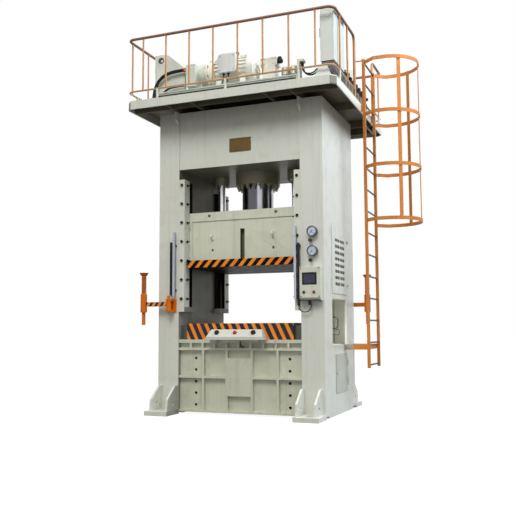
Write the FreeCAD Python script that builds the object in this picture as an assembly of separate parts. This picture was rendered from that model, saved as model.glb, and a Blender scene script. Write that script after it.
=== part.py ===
import FreeCAD
import Part
import math
import os

# Straight-side hydraulic press: two box uprights, a crown and a bed, a slide in four flat guides, a
# bolster, a service deck with guard rail and power unit on top, a caged ladder, two swing-in safety
# posts and a two-hand console. Millimetres, +Z up, front towards -Y. The origin lies on the floor
# under the middle of the press.

# ---- frame ----
UPRIGHT_INNER = 888.0          # inner face of an upright from the middle
UPRIGHT_WIDTH = 312.0
UPRIGHT_OUTER = UPRIGHT_INNER + UPRIGHT_WIDTH
FRAME_DEPTH = 1506.0
HALF_DEPTH = FRAME_DEPTH / 2
FRAME_TOP = 4181.0
PLATE = 30.0                   # wall of the welded boxes
PAD_HEIGHT = 30.0              # packing under each upright
PAD_DEPTH = FRAME_DEPTH - 306.0
FOOT_THICKNESS = 60.0
FOOT_LENGTH = 357.0            # how far a foot plate runs out from the frame
FOOT_OVERHANG = 13.0           # how much wider than the upright, each side
GUSSET_HEIGHT = 380.0
GUSSET_TOP = 80.0
GUSSET_SHOULDER = 212.0
GUSSET_REACH = 310.0
GUSSET_INSET = 17.0            # inner gusset's middle from the upright's inner face
GUSSET_PITCH = 243.0
GUSSET_HOLE = 44.0
ANCHOR_HOLE = 44.0
ANCHOR_REACH = 232.0           # anchor hole's middle from the frame's face
ANCHOR_INSET = 139.0           # anchor hole's middle from the upright's inner face

# ---- openings in the right upright's outer wall ----
WINDOW_Y0, WINDOW_Y1 = -392.0, 340.0
WINDOW_Z0, WINDOW_Z1 = 925.0, 1540.0
VENT_Y0, VENT_Y1 = -394.0, 383.0
VENT_Z0, VENT_Z1 = 1610.0, 2537.0
HATCH_Y0, HATCH_Y1 = -255.0, 330.0
HATCH_Z0, HATCH_Z1 = 284.0, 800.0
DOOR_LAP = 30.0                # how far a door covers the wall round its opening
DOOR_THICKNESS = 8.0
DOOR_CLEARANCE = 0.3
LEAF_REVEAL = 10.0             # hinge barrel's middle from the door's edge

# ---- crown and bed ----
CROWN_BOTTOM = 3365.0
CROWN_RECESS = 13.0            # crown's face behind the upright's face
BED_TOP = 1000.0
BED_BOTTOM = 30.0
BED_FLANGE_DEPTH = FRAME_DEPTH - 16.0
BED_FLANGE_REACH = 55.0        # how far the flanges stand out from the web plates
BED_WEB_DEPTH = BED_FLANGE_DEPTH - 2 * BED_FLANGE_REACH
BED_TOP_FLANGE = 45.0
BED_BAND = 65.0                # height of the recessed band under the top flange
BED_SECOND_FLANGE = 32.0
BED_MID_RIB = 498.0
BED_RIBS = (-519.0, -171.0, 189.0, 553.0)
BED_PANEL_Z0, BED_PANEL_Z1 = 254.0, 755.0
BED_BAND_RIB_PITCH = 176.0
BED_HOLE = 40.0
BED_HOLE_COLUMNS = (-650.0, 705.0)
BED_HOLE_Z0 = 125.0
BED_HOLE_PITCH = 156.0
BED_HOLE_COUNT = 5

# ---- bolster ----
BOLSTER_HALF = UPRIGHT_INNER - 115.0
BOLSTER_DEPTH = BED_FLANGE_DEPTH - 44.0
BOLSTER_HEIGHT = 218.0
CLAMP_GAP = 3.0                # clamp block to upright
CLAMP_LENGTH = 200.0
CLAMP_HEIGHT = 190.0
CLAMP_SETBACK = 60.0
SLOT_PITCH = 280.0
SLOT_COUNT = 4
SLOT_THROAT = 28.0
SLOT_LIP = 30.0
SLOT_FOOT_WIDTH = 50.0
SLOT_FOOT_HEIGHT = 22.0

# ---- gibs ----
GIB_FLANGE_WIDTH = 85.0
GIB_FLANGE_DEPTH = 153.0
GIB_WEB = 38.0
GIB_WEB_DEPTH = 180.0
GIB_Z0 = 1448.0
GIB_Z1 = CROWN_BOTTOM - 140.0
GIB_BOLT_COUNT = 7
GIB_BOLT_PITCH = 265.0
GIB_BOLT_Z0 = 1559.0
GIB_BOLT_SIZE = 24.0
GIB_SCREW_HEIGHT = 12.0
GUIDE_CLEARANCE = 0.3
LEDGE_HEIGHT = 68.0

# ---- slide ----
SLIDE_HALF = UPRIGHT_INNER - 131.0
SLIDE_DEPTH = FRAME_DEPTH - 2 * GIB_FLANGE_DEPTH
SLIDE_Z0, SLIDE_Z1 = 2087.0, 2763.0
SLIDE_STRIP = 122.0            # height of the proud strip along the slide's top edge
SLIDE_RECESS = 12.0
SLIDE_GROOVE = 64.0
SLIDE_GROOVE_DEPTH = 60.0
SLIDE_GROOVE_TOP = 2511.0
SLIDE_WALL = 60.0
SLIDE_WEB = 80.0               # front and rear plates of the hollow slide
SLIDE_SEAT = 240.0             # half the solid block under the main plunger
SHOE_LENGTH = 170.0
SLIDE_PLATE_HALF = UPRIGHT_INNER - 106.0
SLIDE_PLATE_DEPTH = FRAME_DEPTH - 106.0
SLIDE_PLATE_HEIGHT = 102.0
LIFT_HOLE_X = 495.0
LIFT_HOLE_DROP = 52.0          # lifting hole's middle below the slide's top
HOOK_X = 450.0
HOOK_Z = 2415.0
HOOK_HOLE_Z = 2230.0

# ---- cylinders ----
PLUNGER_DIAMETER = 450.0
PLUNGER_TOP = 3860.0
MAIN_FLANGE_DIAMETER = 640.0
MAIN_FLANGE_HEIGHT = 175.0
MAIN_BARREL = 560.0
MAIN_BOLT_CIRCLE = 550.0
MAIN_BOLT_COUNT = 16
MAIN_BOLT_SIZE = 36.0
BARREL_TOP = FRAME_TOP - 36.0
BARREL_END = 25.0
ROD_DIAMETER = 110.0
ROD_X = 575.0
ROD_FLANGE_DIAMETER = 230.0
ROD_FLANGE_HEIGHT = 125.0
ROD_BARREL = 170.0
ROD_BOLT_CIRCLE = 180.0
ROD_BOLT_COUNT = 6
ROD_BOLT_SIZE = 18.0
ROD_CLEARANCE = 0.3
BARREL_CLEARANCE = 0.5

# ---- deck ----
DECK_TOP = FRAME_TOP + 119.0
DECK_PLATE = 12.0
DECK_HALF = UPRIGHT_OUTER + 305.0
DECK_FRONT = -HALF_DEPTH - 425.0
DECK_REAR = HALF_DEPTH + 847.0
DECK_CHAMFER = 72.0
DECK_RIM = 16.0
DECK_RIB_X = 530.0
DECK_CROSS_RIB = 200.0         # cross rib's middle from the frame's face

# ---- guard rail ----
RAIL_INSET = 16.0              # rail's middle line from the deck's edge
RAIL_TOP = DECK_TOP + 884.0
RAIL_LOW = DECK_TOP + 133.0
RAIL_TUBE = 38.0
RAIL_LOW_TUBE = 26.0
RAIL_POST_TUBE = 24.0
RAIL_BEND = 90.0
RAIL_PITCH = 356.0
RAIL_SIDE_PITCH = 380.0
RAIL_LEFT_PITCH = 436.0
RAIL_LEFT_COUNT = 6
RAIL_RETURN = 100.0            # how far the front run goes round the left corner
RAIL_SEAM = 22.0               # first left post from the seam between the two runs
RAIL_END_POST = 170.0          # last post of the rear run from its corner
RAIL_FOOT = 34.0
RAIL_FOOT_X = 1020.0
RAIL_FOOT_FRONT = 278.0        # first side foot from the deck's front edge
RAIL_FOOT_PITCH = 1100.0
LADDER_Y1 = HALF_DEPTH + 57.0
LADDER_Y0 = LADDER_Y1 - 620.0
GATE_Y0 = LADDER_Y0 - 307.0
GATE_Y1 = LADDER_Y1 + 175.0

# ---- ladder and cage ----
LADDER_STILE = 40.0
LADDER_GAP = 20.0              # deck's edge to the stiles
LADDER_X = DECK_HALF + LADDER_GAP + LADDER_STILE / 2
LADDER_BOTTOM = 600.0
LADDER_TOP = DECK_TOP + 650.0
RUNG_DIAMETER = 24.0
RUNG_PITCH = 305.0
RUNG_Z0 = 640.0
CAGE_X = LADDER_X + 295.0
CAGE_RADIUS = 430.0
CAGE_BAR = 8.0
CAGE_BAR_HEIGHT = 50.0
CAGE_HOOP_Z0 = 2640.0
CAGE_HOOP_PITCH = 755.0
CAGE_HOOP_COUNT = 4
CAGE_RUN = 130.0               # straight run of a hoop before it flares in to the stile
CAGE_STRIP_WIDTH = 50.0
CAGE_STRIP_ANGLES = (-60.0, 0.0, 60.0)
BRACKET_Z = 885.0
BRACKET_HEIGHT = 70.0
BRACKET_WIDTH = 40.0
BRACKET_Y0 = LADDER_Y0 + 10.0
BRACKET_Y1 = LADDER_Y0 + 500.0
GRAB_STUB = 117.0
GRAB_STUB_DIAMETER = 18.0

# ---- power unit on the deck ----
LUG_THICKNESS = 50.0
LUG_Y = DECK_FRONT + 378.0
LUG_HOLE = 90.0
LUG_OUTER = -1250.0
LUG_OUTLINE = ((0.0, 0.0), (0.0, 750.0), (200.0, 740.0), (480.0, 500.0), (480.0, 0.0))
LUG_HOLE_OFFSET = (95.0, 662.0)
TROUGH_X0, TROUGH_X1 = -1075.0, 965.0
TROUGH_Y0 = DECK_FRONT + 98.0
TROUGH_Y1 = TROUGH_Y0 + 175.0
TROUGH_HEIGHT = 100.0
TROUGH_LID = 20.0
TROUGH_GAP = 10.0
TANK_X0, TANK_X1 = -740.0, 600.0
TANK_Y0 = TROUGH_Y1 + 45.0
TANK_Y1 = TANK_Y0 + 410.0
TANK_HEIGHT = 150.0
SHAFT_Y = TANK_Y0 + 180.0
SHAFT_Z = DECK_TOP + 400.0
MOTOR_X0, MOTOR_X1 = -330.0, 270.0
MOTOR_DIAMETER = 420.0
MOTOR_FIN = 20.0
MOTOR_FIN_COUNT = 24
BELL_LENGTH = 100.0
BELL_DIAMETER = 340.0
PUMP_LENGTH = 270.0
PUMP_DIAMETER = 300.0
TERMINAL_X0, TERMINAL_X1 = -217.0, 54.0
TERMINAL_Z0, TERMINAL_Z1 = DECK_TOP + 313.0, DECK_TOP + 580.0
TERMINAL_FRONT = SHAFT_Y - 250.0
MAIN_HOSE = 48.0
MAIN_HOSE_X = -1238.0
MAIN_HOSE_Y = SHAFT_Y - 200.0
MAIN_HOSE_Z = DECK_TOP + 452.0
LOW_HOSE = 28.0
LOW_HOSE_X = -1130.0
LOW_HOSE_Y = SHAFT_Y - 188.0
LOW_HOSE_Z = DECK_TOP + 235.0
PORT_LENGTH = 50.0
GROMMET_CLEARANCE = 1.0
VALVE_X0, VALVE_X1 = 340.0, 580.0
VALVE_Z0, VALVE_Z1 = DECK_TOP + 390.0, DECK_TOP + 500.0
FILTER_XS = (TANK_X1 + 80.0, TANK_X1 + 200.0)
FILTER_DIAMETER = 90.0
FILTER_TOP = DECK_TOP + 360.0
STAND_PIPE_X = TANK_X1 + 365.0
STAND_PIPE_Z = DECK_TOP + 340.0
STAND_PIPE_HEAD = 32.0
V_HOSE = 20.0
V_HOSE_LEG = 65.0              # each slanting leg of a cabinet hose, along X and Z
V_HOSE_RUN = 96.0              # level run of a cabinet hose into the cabinet
V_HOSE_Z = DECK_TOP + 230.0
CABINET_X1 = DECK_HALF - 43.0
CABINET_X0 = CABINET_X1 - 179.0
CABINET_Y0 = DECK_FRONT + 118.0
CABINET_Y1 = CABINET_Y0 + 500.0
CABINET_Z0, CABINET_Z1 = DECK_TOP + 225.0, DECK_TOP + 910.0
CABINET_DOOR_Z0 = DECK_TOP + 390.0
CABINET_SHEET = 20.0
CABINET_MARGIN = 20.0          # what shows of the cabinet above and in front of its door
V_HOSE_YS = (CABINET_Y0 + 210.0, CABINET_Y0 + 270.0)
SKIRT_OUTLINE = ((-73.0, 0.0), (157.0, 0.0), (87.0, 170.0), (-8.0, 170.0))
SKIRT_GAP = 33.0
MANIFOLD_X = DECK_HALF - 125.0
MANIFOLD_Y0 = CABINET_Y1 + 210.0
MANIFOLD_Y1 = MANIFOLD_Y0 + 1350.0
MANIFOLD_WIDTH = 90.0
MANIFOLD_HEIGHT = 120.0
MANIFOLD_VALVES = 8

# ---- doors in the right upright ----
HINGE_BARREL = 16.0
HINGE_PIN = 8.0
HINGE_HALF = 30.0              # half the height of a door's knuckle
HINGE_FIT = 0.1
KNUCKLE_HEIGHT = 18.0          # cabinet's hinge knuckles, above and below its door
HINGE_INSET = 130.0            # hinge's middle from the door's end
GRILLE_ROWS = 8
GRILLE_Z0, GRILLE_Z1 = 1720.0, 2357.0
GRILLE_SLOTS = (-235.0, -120.0, 15.0, 130.0)   # front end of each slot in a row
GRILLE_SLOT = 95.0
GRILLE_SLOT_HEIGHT = 42.0
LATCH_ZS = (2353.0, 1739.0)
LATCH_DIAMETER = 34.0
LOCK_Z = 550.0

# ---- front of the right upright ----
NAME_X0, NAME_X1 = -125.0, 192.0
NAME_Z0, NAME_Z1 = CROWN_BOTTOM + 183.0, CROWN_BOTTOM + 374.0
NAME_FRAME = 12.0
NAME_THICKNESS = 6.0
GAUGE_X = UPRIGHT_INNER + 170.0
GAUGE_ZS = (2393.0, 2140.0)
GAUGE_DIAMETER = 134.0
GAUGE_DEPTH = 60.0
GAUGE_RIM = 7.0
GAUGE_DIAL_DEPTH = 10.0
NEEDLE_LENGTH = 46.0
NEEDLE_PIN = 4.0
KNOB_X = UPRIGHT_INNER + 145.0
KNOB_ZS = (2276.0, 2017.0)
KNOB_DIAMETER = 46.0
KNOB_STANDOFF = 34.0
PANEL_X0, PANEL_X1 = UPRIGHT_INNER + 13.0, UPRIGHT_INNER + 289.0
PANEL_Z0, PANEL_Z1 = 1501.0, 1930.0
PANEL_DEPTH = 95.0
SCREEN_X0, SCREEN_X1 = PANEL_X0 + 33.0, PANEL_X0 + 228.0
SCREEN_Z0, SCREEN_Z1 = 1699.0, 1858.0
SCREEN_THICKNESS = 6.0
BUTTON_Z = 1605.0
GREEN_X = PANEL_X0 + 57.0
RED_X = PANEL_X0 + 191.0
BUTTON_STEM = 22.0
BUTTON_CAP = 34.0
BUTTON_TRAVEL = 4.0
BUTTON_CLEARANCE = 0.3

# ---- two-hand console ----
CONSOLE_BOTTOM_HALF = 415.0
CONSOLE_TOP_HALF = 367.0
CONSOLE_FRONT = -BED_FLANGE_DEPTH / 2 - 155.0
CONSOLE_LIP = BED_TOP + 40.0   # where the sloped face starts
CONSOLE_TOP = BED_TOP + 136.0
CONSOLE_TOP_FRONT = CONSOLE_FRONT + 100.0
CONSOLE_BUTTON_X = 262.0
PALM_CAP = 64.0
STOP_CAP = 52.0
PALM_TRAVEL = 6.0
CONSOLE_CABLE = 16.0
CONSOLE_CABLE_X = 60.0
CONSOLE_GLAND = 85.0           # gland's middle behind the console's front
GLAND_DEPTH = 15.0
JUNCTION_X0, JUNCTION_X1 = 470.0, 530.0
WINDOW_CABLE = 12.0
WINDOW_LEAD = 8.0
WINDOW_CABLE_X = UPRIGHT_OUTER - 50.0

# ---- light curtains ----
CURTAIN_BAR = 30.0
CURTAIN_DEPTH = 34.0
CURTAIN_STANDOFF = 25.0
CURTAIN_SCREW_STRIP = 30.0     # height of a curtain's bracket
CURTAIN_LEFT_Z = (1580.0, 2480.0)
CURTAIN_RIGHT_Z = (1516.0, 2482.0)
SENSOR_LEFT_Z = (1605.0, 2341.0)
SENSOR_RIGHT_Z = (1439.0, 2250.0)
CURTAIN_BRACKETS_LEFT_Z = (1660.0, 2280.0)
CURTAIN_BRACKETS_RIGHT_Z = (1620.0, 2200.0)

# ---- safety posts ----
HUB_X = -UPRIGHT_INNER - 102.0
HUB_Y = -HALF_DEPTH - 97.0
HUB_Z0, HUB_Z1 = 1380.0, 1554.0
HUB_LUG = 30.0
HUB_PIN = 30.0
ARM_LENGTH = 393.0
ARM_WIDTH = 40.0
ARM_Z0, ARM_Z1 = 1455.0, 1515.0
ARM_BARREL = 70.0
SLEEVE_DIAMETER = 90.0
SLEEVE_Z0, SLEEVE_Z1 = 1375.0, 1628.0
POST_DIAMETER = 50.0
POST_BOTTOM = 1202.0
POST_TOP = 1925.0
POST_CORE = 56.0
POST_RING = 72.0
POST_RING_PITCH = 28.0
POST_RING_COUNT = 9
POST_HEAD = 130.0
PIN_FIT = 0.2
END_GAP = 0.3

V = FreeCAD.Vector


# ---- shapes ----
def box(x0, x1, y0, y1, z0, z1):
    """A block between two corners."""
    return Part.makeBox(x1 - x0, y1 - y0, z1 - z0, V(x0, y0, z0))


def prism(corners, travel):
    """A flat outline swept along a vector."""
    wire = Part.makePolygon(corners + [corners[0]])
    return Part.Face(wire).extrude(travel)


def prism_x(outline, x0, x1):
    """An outline of (y, z) points from x0 to x1."""
    return prism([V(x0, y, z) for y, z in outline], V(x1 - x0, 0, 0))


def prism_y(outline, y0, y1):
    """An outline of (x, z) points from y0 to y1."""
    return prism([V(x, y0, z) for x, z in outline], V(0, y1 - y0, 0))


def prism_z(outline, z0, z1):
    """An outline of (x, y) points from z0 to z1."""
    return prism([V(x, y, z0) for x, y in outline], V(0, 0, z1 - z0))


def rod(start, end, diameter):
    """A round bar between two points."""
    start = V(*start)
    axis = V(*end) - start
    return Part.makeCylinder(diameter / 2, axis.Length, start, axis)


def tube(start, end, outer, inner):
    """A round bar with a bore right through."""
    return rod(start, end, outer).cut(rod(start, end, inner))


def hexagon(start, end, across):
    """A hexagonal head between two points, across its flats."""
    start = V(*start)
    axis = V(*end) - start
    side = axis.cross(V(0.3, 0.5, 0.8)).normalize() * (across / math.sqrt(3))
    turn = FreeCAD.Rotation(V(*axis), 60)
    corners = []
    for _ in range(6):
        corners.append(start + side)
        side = turn.multVec(side)
    return prism(corners, axis)


def join(shapes):
    """One solid from pieces that are welded or cast together."""
    return shapes[0].multiFuse(shapes[1:]).removeSplitter()


def cut(shape, tools):
    """The shape less all the tools."""
    return shape.cut(Part.makeCompound(tools))


def mirror_x(shape):
    return shape.mirror(V(0, 0, 0), V(1, 0, 0))


def mirror_y(shape):
    return shape.mirror(V(0, 0, 0), V(0, 1, 0))


def half_turn(shape):
    """The same piece at the opposite corner of the press."""
    turned = shape.copy()
    turned.rotate(V(0, 0, 0), V(0, 0, 1), 180)
    return turned


def save(name, pieces):
    """Writes one sub-part, of one solid or of several separate ones."""
    shape = pieces if isinstance(pieces, Part.Shape) else Part.makeCompound(pieces)
    shape.exportStep("parts/" + name + ".step")
    print(name, "solids", len(shape.Solids), "volume", round(shape.Volume), "valid", shape.isValid())


def bend_radii(points):
    """Radius at each inner point: as large as its two runs allow."""
    radii = []
    for before, here, after in zip(points, points[1:], points[2:]):
        turn = (here - before).getAngle(after - here)
        run = min((here - before).Length, (after - here).Length)
        radii.append(0.45 * run / math.tan(turn / 2))
    return radii


def route(points, radii):
    """A wire of straight runs joined by tangent arcs."""
    edges = []
    last = points[0]
    for before, here, after, radius in zip(points, points[1:], points[2:], radii):
        into = (here - before).normalize()
        out = (after - here).normalize()
        reach = radius * math.tan(into.getAngle(out) / 2)
        start = here - into * reach
        end = here + out * reach
        middle = (out - into).normalize()
        centre = here + middle * math.hypot(radius, reach)
        edges.append(Part.LineSegment(last, start).toShape())
        edges.append(Part.Arc(start, centre - middle * radius, end).toShape())
        last = end
    edges.append(Part.LineSegment(last, points[-1]).toShape())
    return Part.Wire(edges)


def bent_tube(points, radii, diameter):
    """A round solid along a route."""
    path = route(points, radii)
    section = Part.Wire([Part.makeCircle(diameter / 2, points[0], points[1] - points[0])])
    return path.makePipeShell([section], True, False)


def hose(name, corners, diameter):
    """A flexible line with the widest bends its route allows, and a print of how it came out."""
    points = [V(*corner) for corner in corners]
    radii = bend_radii(points)
    solid = bent_tube(points, radii, diameter)
    length = route(points, radii).Length
    expected = math.pi * diameter ** 2 / 4 * length
    print(name, "length", round(length), "radii / diameter", [round(r / diameter, 1) for r in radii],
          "volume ratio", round(solid.Volume / expected, 4))
    return solid


# ---- uprights ----
def foot():
    """Right front foot: a thick plate in front of the upright with two gussets on it."""
    far = HALF_DEPTH + FOOT_LENGTH
    plate = box(UPRIGHT_INNER - FOOT_OVERHANG, UPRIGHT_OUTER + FOOT_OVERHANG, -far, -HALF_DEPTH,
                0, FOOT_THICKNESS)
    anchor = (UPRIGHT_INNER + ANCHOR_INSET, -HALF_DEPTH - ANCHOR_REACH)
    plate = plate.cut(rod((*anchor, 0), (*anchor, FOOT_THICKNESS), ANCHOR_HOLE))
    pieces = [plate]
    for number in range(2):
        middle = UPRIGHT_INNER + GUSSET_INSET + number * GUSSET_PITCH
        outline = [(-HALF_DEPTH, FOOT_THICKNESS), (-HALF_DEPTH, GUSSET_HEIGHT),
                   (-HALF_DEPTH - GUSSET_TOP, GUSSET_HEIGHT),
                   (-HALF_DEPTH - GUSSET_REACH + 20, GUSSET_SHOULDER),
                   (-HALF_DEPTH - GUSSET_REACH, FOOT_THICKNESS)]
        plate = prism_x(outline, middle - PLATE / 2, middle + PLATE / 2)
        hole = (-HALF_DEPTH - GUSSET_REACH / 2, FOOT_THICKNESS + 2 * GUSSET_HOLE)
        pieces.append(plate.cut(rod((middle - PLATE, *hole), (middle + PLATE, *hole), GUSSET_HOLE)))
    return pieces


def deck_bracket():
    """Right front bracket under the deck, with a rounded lower edge."""
    reach = 97.0
    height = 190.0
    x0 = UPRIGHT_INNER + GUSSET_INSET - PLATE / 2
    plate = box(x0, x0 + PLATE, -HALF_DEPTH - reach, -HALF_DEPTH, FRAME_TOP - height, FRAME_TOP)
    corner = (-HALF_DEPTH - reach, FRAME_TOP - height)
    return plate.cut(rod((x0, *corner), (x0 + PLATE, *corner), 2 * reach - 40))


def upright():
    """Right upright without openings: a hollow box with diaphragms, feet, brackets and gib ledges."""
    outside = box(UPRIGHT_INNER, UPRIGHT_OUTER, -HALF_DEPTH, HALF_DEPTH, PAD_HEIGHT, FRAME_TOP)
    inner = (UPRIGHT_INNER + PLATE, UPRIGHT_OUTER - PLATE, -HALF_DEPTH + PLATE, HALF_DEPTH - PLATE)
    levels = [PAD_HEIGHT, WINDOW_Z0 - PLATE, WINDOW_Z1, VENT_Z1, CROWN_BOTTOM, FRAME_TOP - PLATE]
    rooms = [box(*inner, low + PLATE, high) for low, high in zip(levels, levels[1:])]
    bulkhead = box(inner[0], inner[1], WINDOW_Y0 - 2 * PLATE, WINDOW_Y0 - PLATE, WINDOW_Z0, WINDOW_Z1)
    shell = join([cut(outside, rooms), bulkhead])
    pad = box(UPRIGHT_INNER, UPRIGHT_OUTER, -PAD_DEPTH / 2, PAD_DEPTH / 2, 0, PAD_HEIGHT)
    ledge = box(UPRIGHT_INNER - GIB_FLANGE_WIDTH, UPRIGHT_INNER, -HALF_DEPTH,
                -HALF_DEPTH + GIB_FLANGE_DEPTH + GIB_WEB_DEPTH, GIB_Z0 - LEDGE_HEIGHT, GIB_Z0)
    front = foot() + [deck_bracket(), ledge]
    return [shell, pad] + front + [mirror_y(piece) for piece in front]


def wall_opening(y0, y1, z0, z1, lap):
    """What is taken out of the outer wall, smaller than its door by the lap."""
    return box(UPRIGHT_OUTER - PLATE - 1, UPRIGHT_OUTER + 1, y0 + lap, y1 - lap, z0 + lap, z1 - lap)


def uprights():
    save("left_upright", [mirror_x(piece) for piece in upright()])
    openings = [wall_opening(WINDOW_Y0, WINDOW_Y1, WINDOW_Z0, WINDOW_Z1, 0),
                wall_opening(VENT_Y0, VENT_Y1, VENT_Z0, VENT_Z1, DOOR_LAP),
                wall_opening(HATCH_Y0, HATCH_Y1, HATCH_Z0, HATCH_Z1, DOOR_LAP)]
    shell, *welded_on = upright()
    save("right_upright", [cut(join([shell] + wall_knuckles()), openings)] + welded_on)


# ---- crown, bed and bolster ----
def crown():
    face = HALF_DEPTH - CROWN_RECESS
    outside = box(-UPRIGHT_INNER, UPRIGHT_INNER, -face, face, CROWN_BOTTOM, FRAME_TOP)
    room = box(-UPRIGHT_INNER + PLATE, UPRIGHT_INNER - PLATE, -face + PLATE, face - PLATE,
               CROWN_BOTTOM + PLATE, FRAME_TOP - PLATE)
    bores = [rod((0, 0, CROWN_BOTTOM), (0, 0, CROWN_BOTTOM + PLATE), MAIN_BARREL + 2 * BARREL_CLEARANCE)]
    for x in (-ROD_X, ROD_X):
        bores.append(rod((x, 0, CROWN_BOTTOM), (x, 0, CROWN_BOTTOM + PLATE),
                         ROD_BARREL + 2 * BARREL_CLEARANCE))
    save("crown_beam", cut(outside, [room] + bores))


def bed_side():
    """Front of the bed: flanges and ribs that stand out from the web plate."""
    web = -BED_WEB_DEPTH / 2
    edge = -BED_FLANGE_DEPTH / 2
    band_top = BED_TOP - BED_TOP_FLANGE
    band_bottom = band_top - BED_BAND
    levels = [(band_top, BED_TOP), (band_bottom - BED_SECOND_FLANGE, band_bottom),
              (BED_MID_RIB - PLATE / 2, BED_MID_RIB + PLATE / 2), (BED_BOTTOM, BED_BOTTOM + PLATE)]
    pieces = [box(-UPRIGHT_INNER, UPRIGHT_INNER, edge, web, low, high) for low, high in levels]
    for x in BED_RIBS:
        pieces.append(box(x - PLATE / 2, x + PLATE / 2, edge, web, BED_BOTTOM, band_bottom))
    pieces.append(box(BED_RIBS[1], BED_RIBS[2], edge, web, BED_PANEL_Z0, BED_PANEL_Z1))
    count = int(UPRIGHT_INNER / BED_BAND_RIB_PITCH)
    for number in range(-count + 1, count):
        x = number * BED_BAND_RIB_PITCH
        pieces.append(box(x - PLATE / 2, x + PLATE / 2, edge, web, band_bottom, band_top))
    return pieces


def bed():
    web = BED_WEB_DEPTH / 2
    outside = box(-UPRIGHT_INNER, UPRIGHT_INNER, -web, web, BED_BOTTOM, BED_TOP)
    room = box(-UPRIGHT_INNER + PLATE, UPRIGHT_INNER - PLATE, -web + PLATE, web - PLATE,
               BED_BOTTOM + PLATE, BED_TOP - BED_TOP_FLANGE)
    holes = []
    for x in BED_HOLE_COLUMNS:
        for number in range(BED_HOLE_COUNT):
            z = BED_HOLE_Z0 + number * BED_HOLE_PITCH
            holes.append(rod((x, -web, z), (x, -web + PLATE, z), BED_HOLE))
    front = bed_side()
    save("bed_frame", join([cut(outside, [room] + holes)] + front + [mirror_y(piece) for piece in front]))


def slots(half_length, face, inwards):
    """T-slots along X that open at a face; inwards is +1 or -1 along Z."""
    tools = []
    for number in range(SLOT_COUNT):
        y = (number - (SLOT_COUNT - 1) / 2) * SLOT_PITCH
        lip = face + inwards * SLOT_LIP
        root = lip + inwards * SLOT_FOOT_HEIGHT
        throat = sorted((face, lip))
        foot_levels = sorted((lip, root))
        tools.append(box(-half_length, half_length, y - SLOT_THROAT / 2, y + SLOT_THROAT / 2, *throat))
        tools.append(box(-half_length, half_length, y - SLOT_FOOT_WIDTH / 2, y + SLOT_FOOT_WIDTH / 2,
                         *foot_levels))
    return tools


def bolster():
    top = BED_TOP + BOLSTER_HEIGHT
    plate = box(-BOLSTER_HALF, BOLSTER_HALF, -BOLSTER_DEPTH / 2, BOLSTER_DEPTH / 2, BED_TOP, top)
    save("bolster_plate", cut(plate, slots(BOLSTER_HALF, top, -1)))
    front = -BOLSTER_DEPTH / 2 + CLAMP_SETBACK
    clamp = box(BOLSTER_HALF, UPRIGHT_INNER - CLAMP_GAP, front, front + CLAMP_LENGTH,
                BED_TOP, BED_TOP + CLAMP_HEIGHT)
    pair = [clamp, mirror_y(clamp)]
    save("bolster_clamps", pair + [mirror_x(piece) for piece in pair])


# ---- gibs ----
def gibs():
    """Four L-section guides with a row of face bolts and a row of side adjusting screws."""
    x1 = UPRIGHT_INNER
    x0 = x1 - GIB_FLANGE_WIDTH
    y0 = -HALF_DEPTH
    y1 = y0 + GIB_FLANGE_DEPTH
    outline = [(x0, y0), (x1, y0), (x1, y1 + GIB_WEB_DEPTH), (x1 - GIB_WEB, y1 + GIB_WEB_DEPTH),
               (x1 - GIB_WEB, y1), (x0, y1)]
    gib = prism_z(outline, GIB_Z0, GIB_Z1)
    heads = []
    for number in range(GIB_BOLT_COUNT):
        z = GIB_BOLT_Z0 + number * GIB_BOLT_PITCH
        x = (x0 + x1) / 2
        y = (y0 + y1) / 2
        heads.append(hexagon((x, y0, z), (x, y0 - 0.7 * GIB_BOLT_SIZE, z), 1.5 * GIB_BOLT_SIZE))
        heads.append(hexagon((x0, y, z), (x0 - GIB_SCREW_HEIGHT, y, z), 1.5 * GIB_BOLT_SIZE))
    save("gib_front_right", gib)
    save("gib_front_left", mirror_x(gib))
    save("gib_rear_right", mirror_y(gib))
    save("gib_rear_left", mirror_x(mirror_y(gib)))
    front = heads + [mirror_x(head) for head in heads]
    save("gib_bolts", front + [mirror_y(head) for head in front])


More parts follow.
